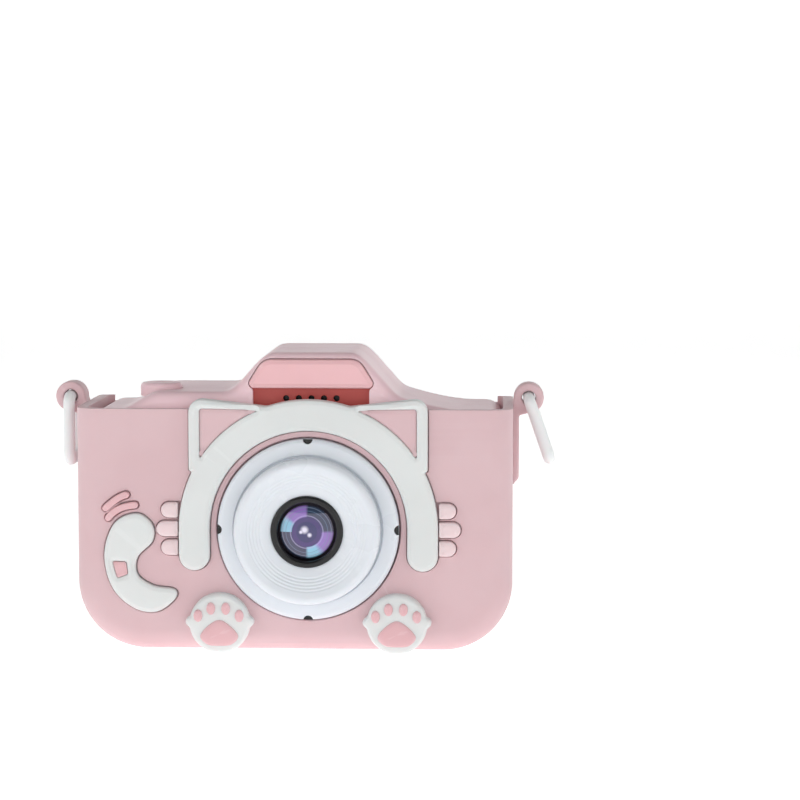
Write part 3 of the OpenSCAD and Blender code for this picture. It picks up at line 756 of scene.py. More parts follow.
@dataclass
class Graph:
    """Short ways to fill a node tree."""

    tree: bpy.types.NodeTree

    def node(self, kind: str, settings: dict | None = None, **inputs) -> bpy.types.Node:
        """Adds a node.

        Args:
            kind: its type.
            settings: its properties.
            **inputs: sockets to link or plain values; an underscore stands for a space, and in3 is the third input.

        Returns:
            The node.
        """
        made = self.tree.nodes.new(kind)
        for key, value in (settings or {}).items():
            setattr(made, key, value)
        for key, value in inputs.items():
            numbered = key[:2] == "in" and key[2:].isdigit()
            place = made.inputs[int(key[2:]) if numbered else key.replace("_", " ")]
            if isinstance(value, bpy.types.NodeSocket):
                self.tree.links.new(value, place)
            elif value is not None:
                place.default_value = (*value, 1.0) if place.type == "RGBA" and len(value) == 3 else value
        return made

    def math(self, operation: str, a: Socket | float, b: Socket | float = 0.0, c: Socket | float = 0.0) -> Socket:
        """A maths node's result."""
        return self.node("ShaderNodeMath", {"operation": operation}, in0=a, in1=b, in2=c).outputs[0]

    def vector(self, operation: str, a: Socket, b: Socket | None = None) -> Socket:
        """A vector maths node's result."""
        made = self.node("ShaderNodeVectorMath", {"operation": operation}, in0=a, in1=b)
        return made.outputs["Value" if operation == "LENGTH" else 0]

    def ramp(self, value: Socket, low: float, high: float, to_low: float = 0.0, to_high: float = 1.0) -> Socket:
        """A value carried smoothly from one range to another."""
        smooth = {"interpolation_type": "SMOOTHSTEP"}
        return self.node(
            "ShaderNodeMapRange", smooth, in0=value, in1=low, in2=high, in3=to_low, in4=to_high
        ).outputs[0]

    def mix(self, factor: Socket | float, a: Socket | Color, b: Socket | Color) -> Socket:
        """A colour between two."""
        made = self.node("ShaderNodeMix", {"data_type": "RGBA"})
        for place, value in ((0, factor), (6, a), (7, b)):
            if isinstance(value, bpy.types.NodeSocket):
                self.tree.links.new(value, made.inputs[place])
            else:
                made.inputs[place].default_value = value if place == 0 else (*value, 1.0)
        return made.outputs[2]

    def here(self) -> Socket:
        """The point's place in the model."""
        return self.node("ShaderNodeTexCoord").outputs["Object"]

    def group(self, name: str, **inputs) -> bpy.types.Node:
        """A shared group, placed in this tree."""
        return self.node("ShaderNodeGroup", {"node_tree": bpy.data.node_groups[name]}, **inputs)


def new_group(
    name: str, inputs: dict[str, tuple[str, object]], outputs: dict[str, str]
) -> tuple[Graph, bpy.types.Node, bpy.types.Node]:
    """Starts a shared node group.

    Args:
        name: its name.
        inputs: socket name to kind and first value.
        outputs: socket name to kind.

    Returns:
        Its graph, its input node and its output node.
    """
    tree = bpy.data.node_groups.new(name, "ShaderNodeTree")
    for key, (kind, value) in inputs.items():
        made = tree.interface.new_socket(key, in_out="INPUT", socket_type=f"NodeSocket{kind}")
        made.default_value = (*value, 1.0) if kind == "Color" else value
    for key, kind in outputs.items():
        tree.interface.new_socket(key, in_out="OUTPUT", socket_type=f"NodeSocket{kind}")
    g = Graph(tree)
    return g, g.node("NodeGroupInput"), g.node("NodeGroupOutput")


class Groups:
    """The shared node groups: every one gives out only a colour, a mask or a height."""

    @staticmethod
    def grain() -> None:
        """Fine moulded grain as a height, and slow patches as a mask."""
        g, src, out = new_group("grain", {"Scale": ("Float", 2500.0)}, {"Height": "Float", "Patches": "Float"})
        here = g.here()
        fine = g.node("ShaderNodeTexNoise", Vector=here, Scale=src.outputs["Scale"], Detail=3.0, Roughness=0.6)
        slow = g.node("ShaderNodeTexNoise", Vector=here, Scale=70.0, Detail=3.0)
        g.tree.links.new(fine.outputs[0], out.inputs["Height"])
        g.tree.links.new(g.ramp(slow.outputs[0], 0.35, 0.65), out.inputs["Patches"])

    @staticmethod
    def tone() -> None:
        """A colour that drifts a little over the surface, and pales on outward edges as a painted edge highlight."""
        g, src, out = new_group(
            "tone",
            {"Color": ("Color", (0.8, 0.8, 0.8)), "Drift": ("Float", 0.04), "Edge": ("Float", 0.2)},
            {"Color": "Color"},
        )
        color = src.outputs["Color"]
        patches = g.group("grain").outputs["Patches"]
        darker = g.node("ShaderNodeHueSaturation", Saturation=1.08, Value=0.94, Color=color).outputs[0]
        edge_highlight_color = g.node("ShaderNodeHueSaturation", Saturation=0.75, Value=1.08, Color=color).outputs[0]
        share = g.math("MULTIPLY", patches, g.math("MULTIPLY", src.outputs["Drift"], 10.0))
        drifted = g.mix(share, color, darker)
        # outward edges, found by pointiness, are mixed toward a paler tint: a painted edge highlight
        point = g.node("ShaderNodeNewGeometry").outputs["Pointiness"]
        edges = g.ramp(point, 0.51, 0.58)
        g.tree.links.new(g.mix(g.math("MULTIPLY", edges, src.outputs["Edge"]), drifted, edge_highlight_color), out.inputs["Color"])

    @staticmethod
    def rings() -> None:
        """The distance from an axis along Y as a share of a radius, and the angle about it in radians."""
        g, src, out = new_group(
            "rings",
            {"Centre": ("Vector", (0.0, 0.0, 0.0)), "Radius": ("Float", 0.001)},
            {"Share": "Float", "Turn": "Float"},
        )
        parts = g.node("ShaderNodeSeparateXYZ", Vector=g.vector("SUBTRACT", g.here(), src.outputs["Centre"]))
        squares = [g.math("POWER", parts.outputs[k], 2.0) for k in (0, 2)]
        far = g.math("SQRT", g.math("ADD", *squares))
        g.tree.links.new(g.math("DIVIDE", far, src.outputs["Radius"]), out.inputs["Share"])
        g.tree.links.new(g.math("ARCTAN2", parts.outputs[2], parts.outputs[0]), out.inputs["Turn"])

    @staticmethod
    def mask(name: str) -> tuple[Graph, Socket, bpy.types.Node]:
        """Starts a mask in a picture's plane.

        Args:
            name: the group's name.

        Returns:
            Its graph, the way from the mask's centre as a share of its size, and its output node.
        """
        g, src, out = new_group(
            name,
            {
                "Place": ("Vector", (0.0, 0.0, 0.0)),
                "Centre": ("Vector", (0.5, 0.5, 0.0)),
                "Size": ("Vector", (0.1, 0.1, 1.0)),
            },
            {"Mask": "Float"},
        )
        away = g.vector("SUBTRACT", src.outputs["Place"], src.outputs["Centre"])
        return g, g.vector("DIVIDE", away, src.outputs["Size"]), out

    @classmethod
    def blob(cls) -> None:
        """A soft-edged oval mask."""
        g, share, out = cls.mask("blob")
        g.tree.links.new(g.ramp(g.vector("LENGTH", share), 0.92, 1.04, 1.0, 0.0), out.inputs["Mask"])

    @classmethod
    def panel(cls) -> None:
        """A rectangular mask."""
        g, share, out = cls.mask("panel")
        parts = g.node("ShaderNodeSeparateXYZ", Vector=g.vector("ABSOLUTE", share))
        far = g.math("MAXIMUM", parts.outputs[0], parts.outputs[1])
        g.tree.links.new(g.ramp(far, 0.98, 1.02, 1.0, 0.0), out.inputs["Mask"])

    @classmethod
    def build(cls) -> None:
        """Makes them all."""
        for make in (cls.grain, cls.tone, cls.rings, cls.blob, cls.panel):
            make()


# ---------------------------------------------------------------------------------------------- finishes


def linear(color: Color) -> Color:
    """A screen colour, 0 to 255, as linear light."""
    return tuple(((c / 255 + 0.055) / 1.055) ** 2.4 if c > 10 else c / 255 / 12.92 for c in color)


@dataclass(frozen=True)
class Finish:
    """What every finish has: a name, a colour as seen on a screen and a roughness."""

    name: str
    color: Color
    rough: float = 0.4

    def start(self) -> tuple[bpy.types.Material, Graph, bpy.types.Node]:
        """A new material with its graph and its shader."""
        material = bpy.data.materials.new(self.name)
        material.use_nodes = True
        tree = material.node_tree
        shader = next(n for n in tree.nodes if n.type == "BSDF_PRINCIPLED")
        return material, Graph(tree), shader

    @staticmethod
    def constants(shader: bpy.types.Node, **values) -> None:
        """Sets plain values on the shader's own sockets; an underscore stands for a space."""
        for key, value in values.items():
            shader.inputs[key.replace("_", " ")].default_value = value

    def bump(self, g: Graph, shader: bpy.types.Node, height: Socket, strength: float, distance: float) -> None:
        """Feeds a height to the shader's normal."""
        made = g.node("ShaderNodeBump", Strength=strength, Distance=distance, Height=height)
        g.tree.links.new(made.outputs[0], shader.inputs["Normal"])

    def base(self, g: Graph, shader: bpy.types.Node, drift: float, edge: float, grain: float, strength: float) -> None:
        """The finish's colour with its painted edge highlight, roughness and grain, all from the shared groups."""
        # the edge amount sets how far outward edges pale in tone: a painted edge highlight
        tone = g.group("tone", Color=linear(self.color), Drift=drift, Edge=edge)
        texture = g.group("grain", Scale=grain)
        g.tree.links.new(tone.outputs["Color"], shader.inputs["Base Color"])
        rough = g.math("MULTIPLY_ADD", texture.outputs["Patches"], 0.06, self.rough - 0.03)
        g.tree.links.new(rough, shader.inputs["Roughness"])
        if strength > 0:
            self.bump(g, shader, texture.outputs["Height"], strength, 0.00008)


@dataclass(frozen=True)
class Rubber(Finish):
    """Silicone rubber: satin, and a little light passes through it."""

    def build(self) -> bpy.types.Material:
        """The material."""
        material, g, shader = self.start()
        self.base(g, shader, 0.05, 0.35, 2600.0, 0.14)
        self.constants(
            shader,
            Subsurface_Weight=0.12,
            Subsurface_Radius=(1.0, 0.45, 0.4),
            Subsurface_Scale=0.0015,
            Sheen_Weight=0.12,
            Sheen_Roughness=0.4,
        )
        return material


@dataclass(frozen=True)
class Plastic(Finish):
    """Moulded plastic, with a thin gloss over it where the coat isn't 0."""

    coat: float = 0.0
    grain: float = 0.06

    def build(self) -> bpy.types.Material:
        """The material."""
        material, g, shader = self.start()
        self.base(g, shader, 0.03, 0.25, 3600.0, self.grain)
        self.constants(
            shader, Coat_Weight=self.coat, Coat_Roughness=0.12, Subsurface_Weight=0.05, Subsurface_Scale=0.0008
        )
        return material


@dataclass(frozen=True)
class Metal(Finish):
    """Bare metal with fine brushing."""

    def build(self) -> bpy.types.Material:
        """The material."""
        material, g, shader = self.start()
        self.base(g, shader, 0.05, 0.2, 5000.0, 0.1)
        self.constants(shader, Metallic=1.0)
        return material


@dataclass(frozen=True)
class Board(Finish):
    """A circuit board: solder mask over straight copper tracks, with gold pads."""

    def build(self) -> bpy.types.Material:
        """The material."""
        material, g, shader = self.start()
        here = g.here()
        tracks = g.node(
            "ShaderNodeTexBrick", {"offset": 0.5}, Vector=here, Scale=420.0, Mortar_Size=0.12, Mortar_Smooth=0.2
        )
        pads = g.node("ShaderNodeTexVoronoi", {"feature": "F1"}, Vector=here, Scale=520.0, Randomness=0.35)
        mask = g.mix(tracks.outputs["Fac"], linear(self.color), linear((60, 132, 84)))
        spot = g.ramp(pads.outputs["Distance"], 0.16, 0.2, 1.0, 0.0)
        g.tree.links.new(g.mix(spot, mask, linear((206, 172, 92))), shader.inputs["Base Color"])
        g.tree.links.new(spot, shader.inputs["Metallic"])
        self.constants(shader, Roughness=self.rough, Coat_Weight=0.4)
        self.bump(g, shader, tracks.outputs["Fac"], 0.3, 0.00004)
        return material


@dataclass(frozen=True)
class Flex(Finish):
    """Flat amber ribbon cable with straight conductors."""

    def build(self) -> bpy.types.Material:
        """The material."""
        material, g, shader = self.start()
        lines = g.node("ShaderNodeTexWave", {"bands_direction": "X"}, Vector=g.here(), Scale=700.0)
        color = g.mix(g.ramp(lines.outputs["Fac"], 0.4, 0.6), linear(self.color), linear((226, 160, 74)))
        g.tree.links.new(color, shader.inputs["Base Color"])
        self.constants(shader, Roughness=self.rough, Coat_Weight=0.5)
        return material


@dataclass(frozen=True)
class CoatedGlass(Finish):
    """A coated lens in front of a dark barrel: painted reflections in coloured wedges about its axis, rings of colour,
    painted highlights near its middle, and a film that tints what it mirrors.
    """

    centre: tuple[float, float, float] = (0.0, 0.0, 0.0)
    radius: float = 0.0056
    outside: Color = (10, 10, 14)

    def build(self) -> bpy.types.Material:
        """The material."""
        material, g, shader = self.start()
        rings = g.group("rings", Centre=self.centre, Radius=self.radius)
        share, turn = rings.outputs["Share"], rings.outputs["Turn"]
        # teal, cyan and purple wedges by angle about the axis: painted reflections
        place = g.math("MULTIPLY_ADD", turn, 0.5 / math.pi, 0.5)
        reflection_sectors = g.node("ShaderNodeValToRGB", Fac=place)
        ramp = reflection_sectors.color_ramp
        ramp.elements.remove(ramp.elements[1])
        teal, cyan, purple = linear((44, 62, 84)), linear((140, 200, 224)), linear((150, 118, 196))
        ramp.elements[0].color = (*teal, 1)
        for tint, stops in (
            (teal, (0.24, 0.51, 0.74)),
            (cyan, (0.26, 0.33, 0.92, 0.99)),
            (purple, (0.37, 0.49, 0.76, 0.89)),
        ):
            for at in stops:
                ramp.elements.new(at).color = (*tint, 1)
        color = g.mix(g.ramp(share, 0.5, 0.54), linear((58, 44, 110)), reflection_sectors.outputs[0])
        for at, width, tint in (
            (0.56, 0.02, (180, 170, 220)),
            (0.72, 0.012, (112, 140, 170)),
            (0.84, 0.015, (136, 152, 176)),
        ):
            ring = g.math("COMPARE", share, at, width)
            color = g.mix(g.math("MULTIPLY", ring, 0.5), color, linear(tint))
        color = g.mix(g.ramp(share, 0.34, 0.38), linear(self.color), color)
        # white spots near the middle: painted highlights
        for x, z, width in ((-0.07, 0.08, 0.15), (0.1, -0.1, 0.09), (-0.2, 0.0, 0.07)):
            spot = (self.centre[0] + x * self.radius, 0.0, self.centre[2] + z * self.radius)
            glint = g.group("rings", Centre=spot, Radius=self.radius * width).outputs["Share"]
            color = g.mix(g.ramp(glint, 0.2, 1.2, 1.0, 0.0), color, linear((240, 236, 252)))
        color = g.mix(g.ramp(share, 0.86, 0.94), color, linear((14, 12, 22)))
        color = g.mix(g.ramp(share, 0.985, 1.0), color, linear(self.outside))
        g.tree.links.new(color, shader.inputs["Base Color"])
        self.constants(
            shader,
            Roughness=self.rough,
            Specular_IOR_Level=0.8,
            Coat_Weight=1.0,
            Coat_Roughness=0.02,
            Thin_Film_Thickness=430.0,
            Thin_Film_IOR=1.6,
        )
        return material


@dataclass(frozen=True)
class Screen(Finish):
    """Black-bordered cover glass over a lit picture of potted cacti before a white brick wall."""

    centre: tuple[float, float] = (0.0042, 0.0262)
    size: tuple[float, float] = (0.0403, 0.0295)
    glow: float = 0.75

    def build(self) -> bpy.types.Material:
        """The material."""
        material, g, shader = self.start()
        parts = g.node("ShaderNodeSeparateXYZ", Vector=g.here())
        u = g.math("MULTIPLY_ADD", parts.outputs[0], -1 / self.size[0], self.centre[0] / self.size[0] + 0.5)
        v = g.math("MULTIPLY_ADD", parts.outputs[2], 1 / self.size[1], 0.5 - self.centre[1] / self.size[1])
        place = g.node("ShaderNodeCombineXYZ", X=u, Y=v).outputs[0]
        shown = g.group("panel", Place=place, Centre=(0.5, 0.5, 0.0), Size=(0.5, 0.5, 10.0)).outputs[0]
        picture = self.picture(g, place, u, v)
        black = (0.0, 0.0, 0.0)
        base = g.mix(shown, linear(self.color), g.mix(0.8, picture, black))
        g.tree.links.new(base, shader.inputs["Base Color"])
        g.tree.links.new(g.mix(shown, black, picture), shader.inputs["Emission Color"])
        self.constants(shader, Roughness=self.rough, Emission_Strength=self.glow, Specular_IOR_Level=0.25)
        return material

    def picture(self, g: Graph, place: Socket, u: Socket, v: Socket) -> Socket:
        """The picture's colour at a place across and up it, each from 0 to 1."""

        def mask(kind: str, x: float, z: float, half_w: float, half_h: float) -> Socket:
            """The share of an oval or rectangle at the place."""
            return g.group(kind, Place=place, Centre=(x, z, 0.0), Size=(half_w, half_h, 10.0)).outputs[0]

        wall = g.node(
            "ShaderNodeTexBrick",
            {"offset": 0.5},
            Vector=place,
            Color1=linear((226, 226, 216)),
            Color2=linear((205, 208, 198)),
            Mortar=linear((160, 166, 158)),
            Scale=7.0,
            Mortar_Size=0.012,
        ).outputs[0]
        soft = g.node("ShaderNodeTexNoise", Vector=place, Scale=4.0, Detail=2.0).outputs[0]
        color = g.mix(g.ramp(soft, 0.3, 0.8, 0.0, 0.35), wall, linear((150, 164, 150)))
        pane = mask("panel", 0.2, 0.66, 0.17, 0.28)
        sky = g.mix(g.ramp(v, 0.4, 0.9), linear((196, 216, 190)), linear((214, 232, 240)))
        color = g.mix(pane, color, sky)
        for bar in ((0.2, 0.66, 0.006, 0.28), (0.2, 0.66, 0.17, 0.008), (0.2, 0.38, 0.19, 0.014)):
            color = g.mix(mask("panel", *bar), color, linear((244, 244, 240)))
        shelf = g.node(
            "ShaderNodeTexWave", {"bands_direction": "Y"}, Vector=place, Scale=9.0, Distortion=3.0, Detail=2.0
        )
        wood = g.mix(shelf.outputs["Fac"], linear((150, 112, 80)), linear((178, 138, 100)))
        color = g.mix(g.ramp(v, 0.19, 0.2, 1.0, 0.0), color, wood)
        plants = (
            (0.36, 0.42, 0.055, 0.24, (86, 128, 84)),
            (0.28, 0.46, 0.03, 0.1, (98, 140, 92)),
            (0.57, 0.34, 0.1, 0.13, (112, 152, 96)),
            (0.78, 0.48, 0.06, 0.3, (70, 112, 80)),
            (0.87, 0.52, 0.032, 0.12, (84, 128, 88)),
            (0.93, 0.3, 0.05, 0.1, (128, 160, 110)),
            (0.12, 0.3, 0.07, 0.11, (100, 146, 98)),
        )
        for x, z, rx, rz, tint in plants:
            ribs = g.math("MULTIPLY_ADD", g.math("SINE", g.math("MULTIPLY", u, 2 * math.pi / (rx * 0.45))), 0.5, 0.5)
            leaf = g.mix(ribs, linear(tint), linear(tuple(min(c * 1.3, 255) for c in tint)))
            color = g.mix(mask("blob", x, z, rx, rz), color, leaf)
        pots = (
            (0.36, 0.06, (196, 120, 86)),
            (0.57, 0.08, (224, 214, 200)),
            (0.8, 0.085, (186, 108, 80)),
            (0.12, 0.06, (214, 196, 176)),
            (0.94, 0.045, (120, 140, 150)),
        )
        for x, half, tint in pots:
            across = g.ramp(g.math("SUBTRACT", u, x - half), 0.0, 2 * half)
            clay = g.mix(across, linear(tint), linear(tuple(c * 0.72 for c in tint)))
            color = g.mix(mask("panel", x, 0.16, half, 0.085), color, clay)
        return color


class Palette:
    """Every finish of the camera, made once."""

    def __init__(self) -> None:
        lens = (LENS[0] * MM, 0.0, LENS[1] * MM)
        finishes = (
            Rubber("silicone", (222, 190, 194), 0.5),
            Rubber("white_inlay", (227, 230, 229), 0.46),
            Rubber("whisker_inlay", (238, 216, 218), 0.46),
            Rubber("coral_inlay", (230, 186, 190), 0.5),
            Plastic("shell", (246, 212, 218), 0.36),
            Plastic("hood", (243, 194, 198), 0.4),
            # deep coral for the grille: painted shade of the recess under the hood's lip
            Plastic("grille", (190, 84, 78), 0.45),
            Plastic("lens_white", (228, 233, 239), 0.3, coat=0.3, grain=0.02),
            Plastic("button_white", (230, 235, 243), 0.3, coat=0.2, grain=0.02),
            Plastic("ring_white", (242, 244, 244), 0.34),
            Plastic("black_plastic", (5, 5, 7), 0.22),
            CoatedGlass("lens_glass", (34, 40, 96), 0.04, centre=lens),
            CoatedGlass("selfie_glass", (30, 34, 70), 0.06, centre=(0.0049, 0.0, 0.0514), radius=0.0021),
            Screen("screen_glass", (9, 9, 11), 0.08),
            Plastic("display", (52, 56, 62), 0.3),
            Board("circuit_board", (30, 96, 58), 0.4),
            Flex("flex", (196, 118, 40), 0.35),
            Metal("metal", (196, 198, 202), 0.32),
            Metal("screw", (104, 74, 66), 0.38),
            Metal("battery_foil", (176, 184, 196), 0.36),
        )
        self.made = {f.name: f.build() for f in finishes}

    def dress(
        self, piece: bpy.types.Object, finish: str, *nodes: str, body: str = ROOT, slot: str | None = None
    ) -> None:
        """Gives a piece its finish and its place in the frame.

        Args:
            piece: the finished piece.
            finish: name of its finish.
            *nodes: CAD nodes that it stands for.
            body: the body it moves with.
            slot: not used.
        """
        piece.data.materials.clear()
        piece.data.materials.append(self.made[finish])
        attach(piece, body)
        if nodes:
            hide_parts(*nodes)
        log.info("%s: %d faces", piece.name, len(piece.data.polygons))


# ---------------------------------------------------------------------------------------------- sub-assemblies


@dataclass
class RubberCase:
    """The rubber case with its cat's face, tail, marks and paws."""

    palette: Palette
    face: CatFace = field(default_factory=CatFace)
    half: float = 42.5
    corner: float = 13.5
    depth: float = 34.0
    edge: float = 4.5
    wall: float = 2.0
    rim_z: float = 47.4
    gap: float = 0.2
    floor_y: float = -16.0
    inlay_y: float = -18.3
    paw_r: float = 5.9
    paw_dx: float = 17.2
    hollow: float = 1.0
    seat_y: float = -15.2

    # these outlines are about X = 0 of the lens axis
    TAIL = (
        (-37.6, 25.3), (-39.7, 19.4), (-38.3, 12.8), (-34.2, 8.7), (-29.6, 7.9), (-26, 10.4), (-26.1, 12.3),
        (-30.2, 13), (-33.3, 15.2), (-33.2, 18.6), (-30.3, 21.7), (-30.3, 24.9), (-33.3, 27.1),
    )
    PATCH = ((-37.2, 14.5), (-35.1, 15.2), (-35.4, 17.7), (-38.1, 17.8))
    SWISHES = (((-39.4, 28.1), (-37.2, 29.9), (-35.4, 30.7)), ((-38.9, 26.2), (-36.7, 28), (-33.7, 28.7)))

    def outline(self, inward: float) -> np.ndarray:
        """The case's outline, which runs on above its rim, moved inward."""
        x, r = self.half, self.corner
        top_r, top_z = 6, 56
        path = np.vstack(
            (
                arc((-x + r, r), r, 180, 270),
                arc((x - r, r), r, 270, 360),
                arc((x - top_r, top_z), top_r, 0, 90),
                arc((-x + top_r, top_z), top_r, 90, 180),
            )
        )
        return grow(even(path, 0.7), -inward)

    def tail(self, gap: float) -> np.ndarray:
        """Outline of the tail."""
        path = closed_curve([(x + LENS[0], z) for x, z in self.TAIL], 10)
        return grow(even(ccw(path), 0.3), gap)

    def patch(self) -> np.ndarray:
        """Outline of the mark on the tail."""
        path = np.array([(x + LENS[0], z) for x, z in self.PATCH])
        return soften(even(ccw(path), 0.15), 6)

    def swish(self, k: int, gap: float) -> np.ndarray:
        """Outline of one of the marks beside the tail."""
        return soften(even(ribbon([(x + LENS[0], z) for x, z in self.SWISHES[k]], 0.65 + gap), 0.15), 2)

    def levels(self, depth: float, radius: float, steps: int) -> list[tuple[float, float]]:
        """Depth and inward step of each ring of a body with rounded long edges, from back to front."""
        turn = quarter(steps)
        back = [(depth / 2 - radius * (1 - math.cos(a)), radius * (1 - math.sin(a))) for a in turn]
        straight = [(y, 0.0) for y in np.linspace(depth / 2 - radius, radius - depth / 2, 8)[1:-1]]
        return back + straight + [(-y, inward) for y, inward in back[::-1]]

    def skin(self) -> bpy.types.Object:
        """The case: rings from back to front, hollows in its front, then the cavity and the openings cut out."""
        surface = Surface()
        back_y = self.depth / 2
        surface.rings([at_y(self.outline(inward), y) for y, inward in self.levels(self.depth, self.edge, 8)])
        surface.fill([self.outline(self.edge)], back_y)
        pockets = [
            Pocket(self.face.hollow(self.gap) + LENS, self.hollow, 0.09, support=0.02),
            Pocket(self.tail(self.gap), self.hollow),
            Pocket(circle(tuple(LENS), 17.9), self.wall + 0.6),
            *(Pocket(self.swish(k, self.gap), self.hollow, 0.2) for k in range(2)),
        ]
        add_panel(surface, self.outline(self.edge), pockets, -back_y, Facing.FRONT)
        case = surface.build("case_skin")
        inner = self.levels(self.depth - 2 * self.wall, self.edge - self.wall, 5)
        cavity = block("cavity", [at_y(self.outline(self.wall + inward), y) for y, inward in inner])
        above = prism("above", rounded_rect((0, self.rim_z + 20), 120, 40, 0.5), -30, 30)
        rear = round_corners(
            [(-33.5, 6.7), (31.7, 6.7), (31.7, 46), (60, 46), (60, 80), (-60, 80), (-60, 46), (-33.5, 46)],
            [5.5, 5.5, 0, 0, 0, 0, 0, 0],
        )
        back = prism("back", rear, back_y - self.wall - 0.4, 30)
        ports = rounded_rect((13, 0), 36, 9, 2)
        floor = block("floor", [at_z(ports, -1), at_z(ports, self.wall + 0.5)])
        cut(case, [cavity, above, back, floor])
        rear_y = back_y - self.wall
        round_edges(case, 0.45, lambda p: p[2] > self.rim_z - 0.02 or p[1] > rear_y - 0.02 and p[2] > 4)
        return case

    def paw(self, name: str, side: int) -> bpy.types.Object:
        """One paw: a round pad with two small knuckles at its sides, swelling to its middle."""
        centre = (LENS[0] + side * self.paw_dx, self.paw_r)
        nubs = [circle((s * 5.7, 0.26), 1.0, 0.2) for s in SIDES]
        outline = combine([circle((0, 0), self.paw_r), *nubs])[0]
        outline = soften(even(ccw(outline), 0.25), 3) + centre
        profile = [(1.0, -14.9), (1.0, -17.2), (1.0, -18.2), *corner(1, -18.2, 0.14, -1.1)]
        profile += [(0.86 * t, -19.3 - 0.1 * (1 - t**2)) for t in (0.8, 0.6, 0.4, 0.2, 0.02)]
        return domed(name, outline, centre, profile)

    def pads(self) -> bpy.types.Object:
        """Four toe pads and a broad pad on each paw."""
        broad = [(0, 0.8), (2.2, -0.4), (3.7, -2.4), (2.4, -4), (0, -4.3), (-2.4, -4), (-3.7, -2.4), (-2.2, -0.4)]
        toes = ((-4.1, 1.6), (-1.6, 3), (1.3, 3), (3.9, 1.6))
        dome = ((0.95, -19.65), (0.84, -19.78), (0.6, -19.87), (0.3, -19.9), (0.02, -19.9))
        profile = [(1.0, -18.9), (1.0, -19.45), *dome]
        parts = []
        for side in SIDES:
            centre = np.array((LENS[0] + side * self.paw_dx, self.paw_r))
            shapes = [(circle((0, 0), 1.0, 0.1) * (0.85, 1.2) + toe, toe) for toe in toes]
            shapes.append((even(ccw(closed_curve(broad, 6)), 0.2), (0, -1.9)))
            for shape, middle in shapes:
                parts.append(domed("pad", shape + centre, tuple(centre + middle), profile))
        return join("paw_pad_skins", parts)

    def inlay(self, name: str, outline: np.ndarray, sunk: float, *shape) -> bpy.types.Object:
        """A plate that stands in one of the front's hollows, its face a little behind the cat's.

        Args:
            name: the piece's name.
            outline: closed path in X and Z.
            sunk: how far its face lies behind the cat's.
            *shape: its edge, its crown and its holes.

        Returns:
            The piece.
        """
        return plate(name, outline, self.floor_y + 0.1, self.inlay_y + sunk, *shape)

    def whiskers(self) -> bpy.types.Object:
        """Six whiskers, three at each side of the arch."""
        start = self.face.outer + self.gap
        bars = []
        for tip in self.face.tips:
            for side in SIDES:
                outline = soften(even(self.face.whisker(tip, side, 0, start), 0.25), 2) + LENS
                bars.append(self.inlay("bar", outline, 0.2, 0.45, 0.1))
        return join("whisker_skins", bars)

    def build(self) -> None:
        """Makes and dresses every piece."""
        dress = self.palette.dress
        dress(self.skin(), "silicone", "silicone_case")
        ears = [self.face.inner_ear(side, 0.1) + LENS for side in SIDES]
        cat = plate("cat_face_skin", self.face.face(0) + LENS, self.seat_y, self.inlay_y, 0.5, 0.12, ears)
        dress(cat, "white_inlay", "cat_face")
        ears = [self.face.inner_ear(side, 0.08) + LENS for side in SIDES]
        inner = [plate("ear", ear, self.seat_y, self.inlay_y + 0.5, 0.35, 0.1) for ear in ears]
        dress(join("ear_inlay_skins", inner), "silicone", "ear_inlays")
        dress(self.whiskers(), "whisker_inlay", "whiskers")
        dress(self.inlay("tail_skin", self.tail(0), 0.3, 0.5, 0.12, [self.patch()]), "white_inlay", "tail_inlay")
        patch = self.inlay("tail_patch_skin", grow(self.patch(), -0.06), 0.32, 0.2, 0.05)
        dress(patch, "coral_inlay", "tail_patch")
        marks = [self.inlay("mark", self.swish(k, 0), 0.6, 0.25) for k in range(2)]
        dress(join("swish_skins", marks), "coral_inlay", "swish_marks")
        for name, side in (("left", -1), ("right", 1)):
            dress(self.paw(f"paw_{name}_skin", side), "white_inlay", f"paw_{name}")
        dress(self.pads(), "coral_inlay", "paw_pads")


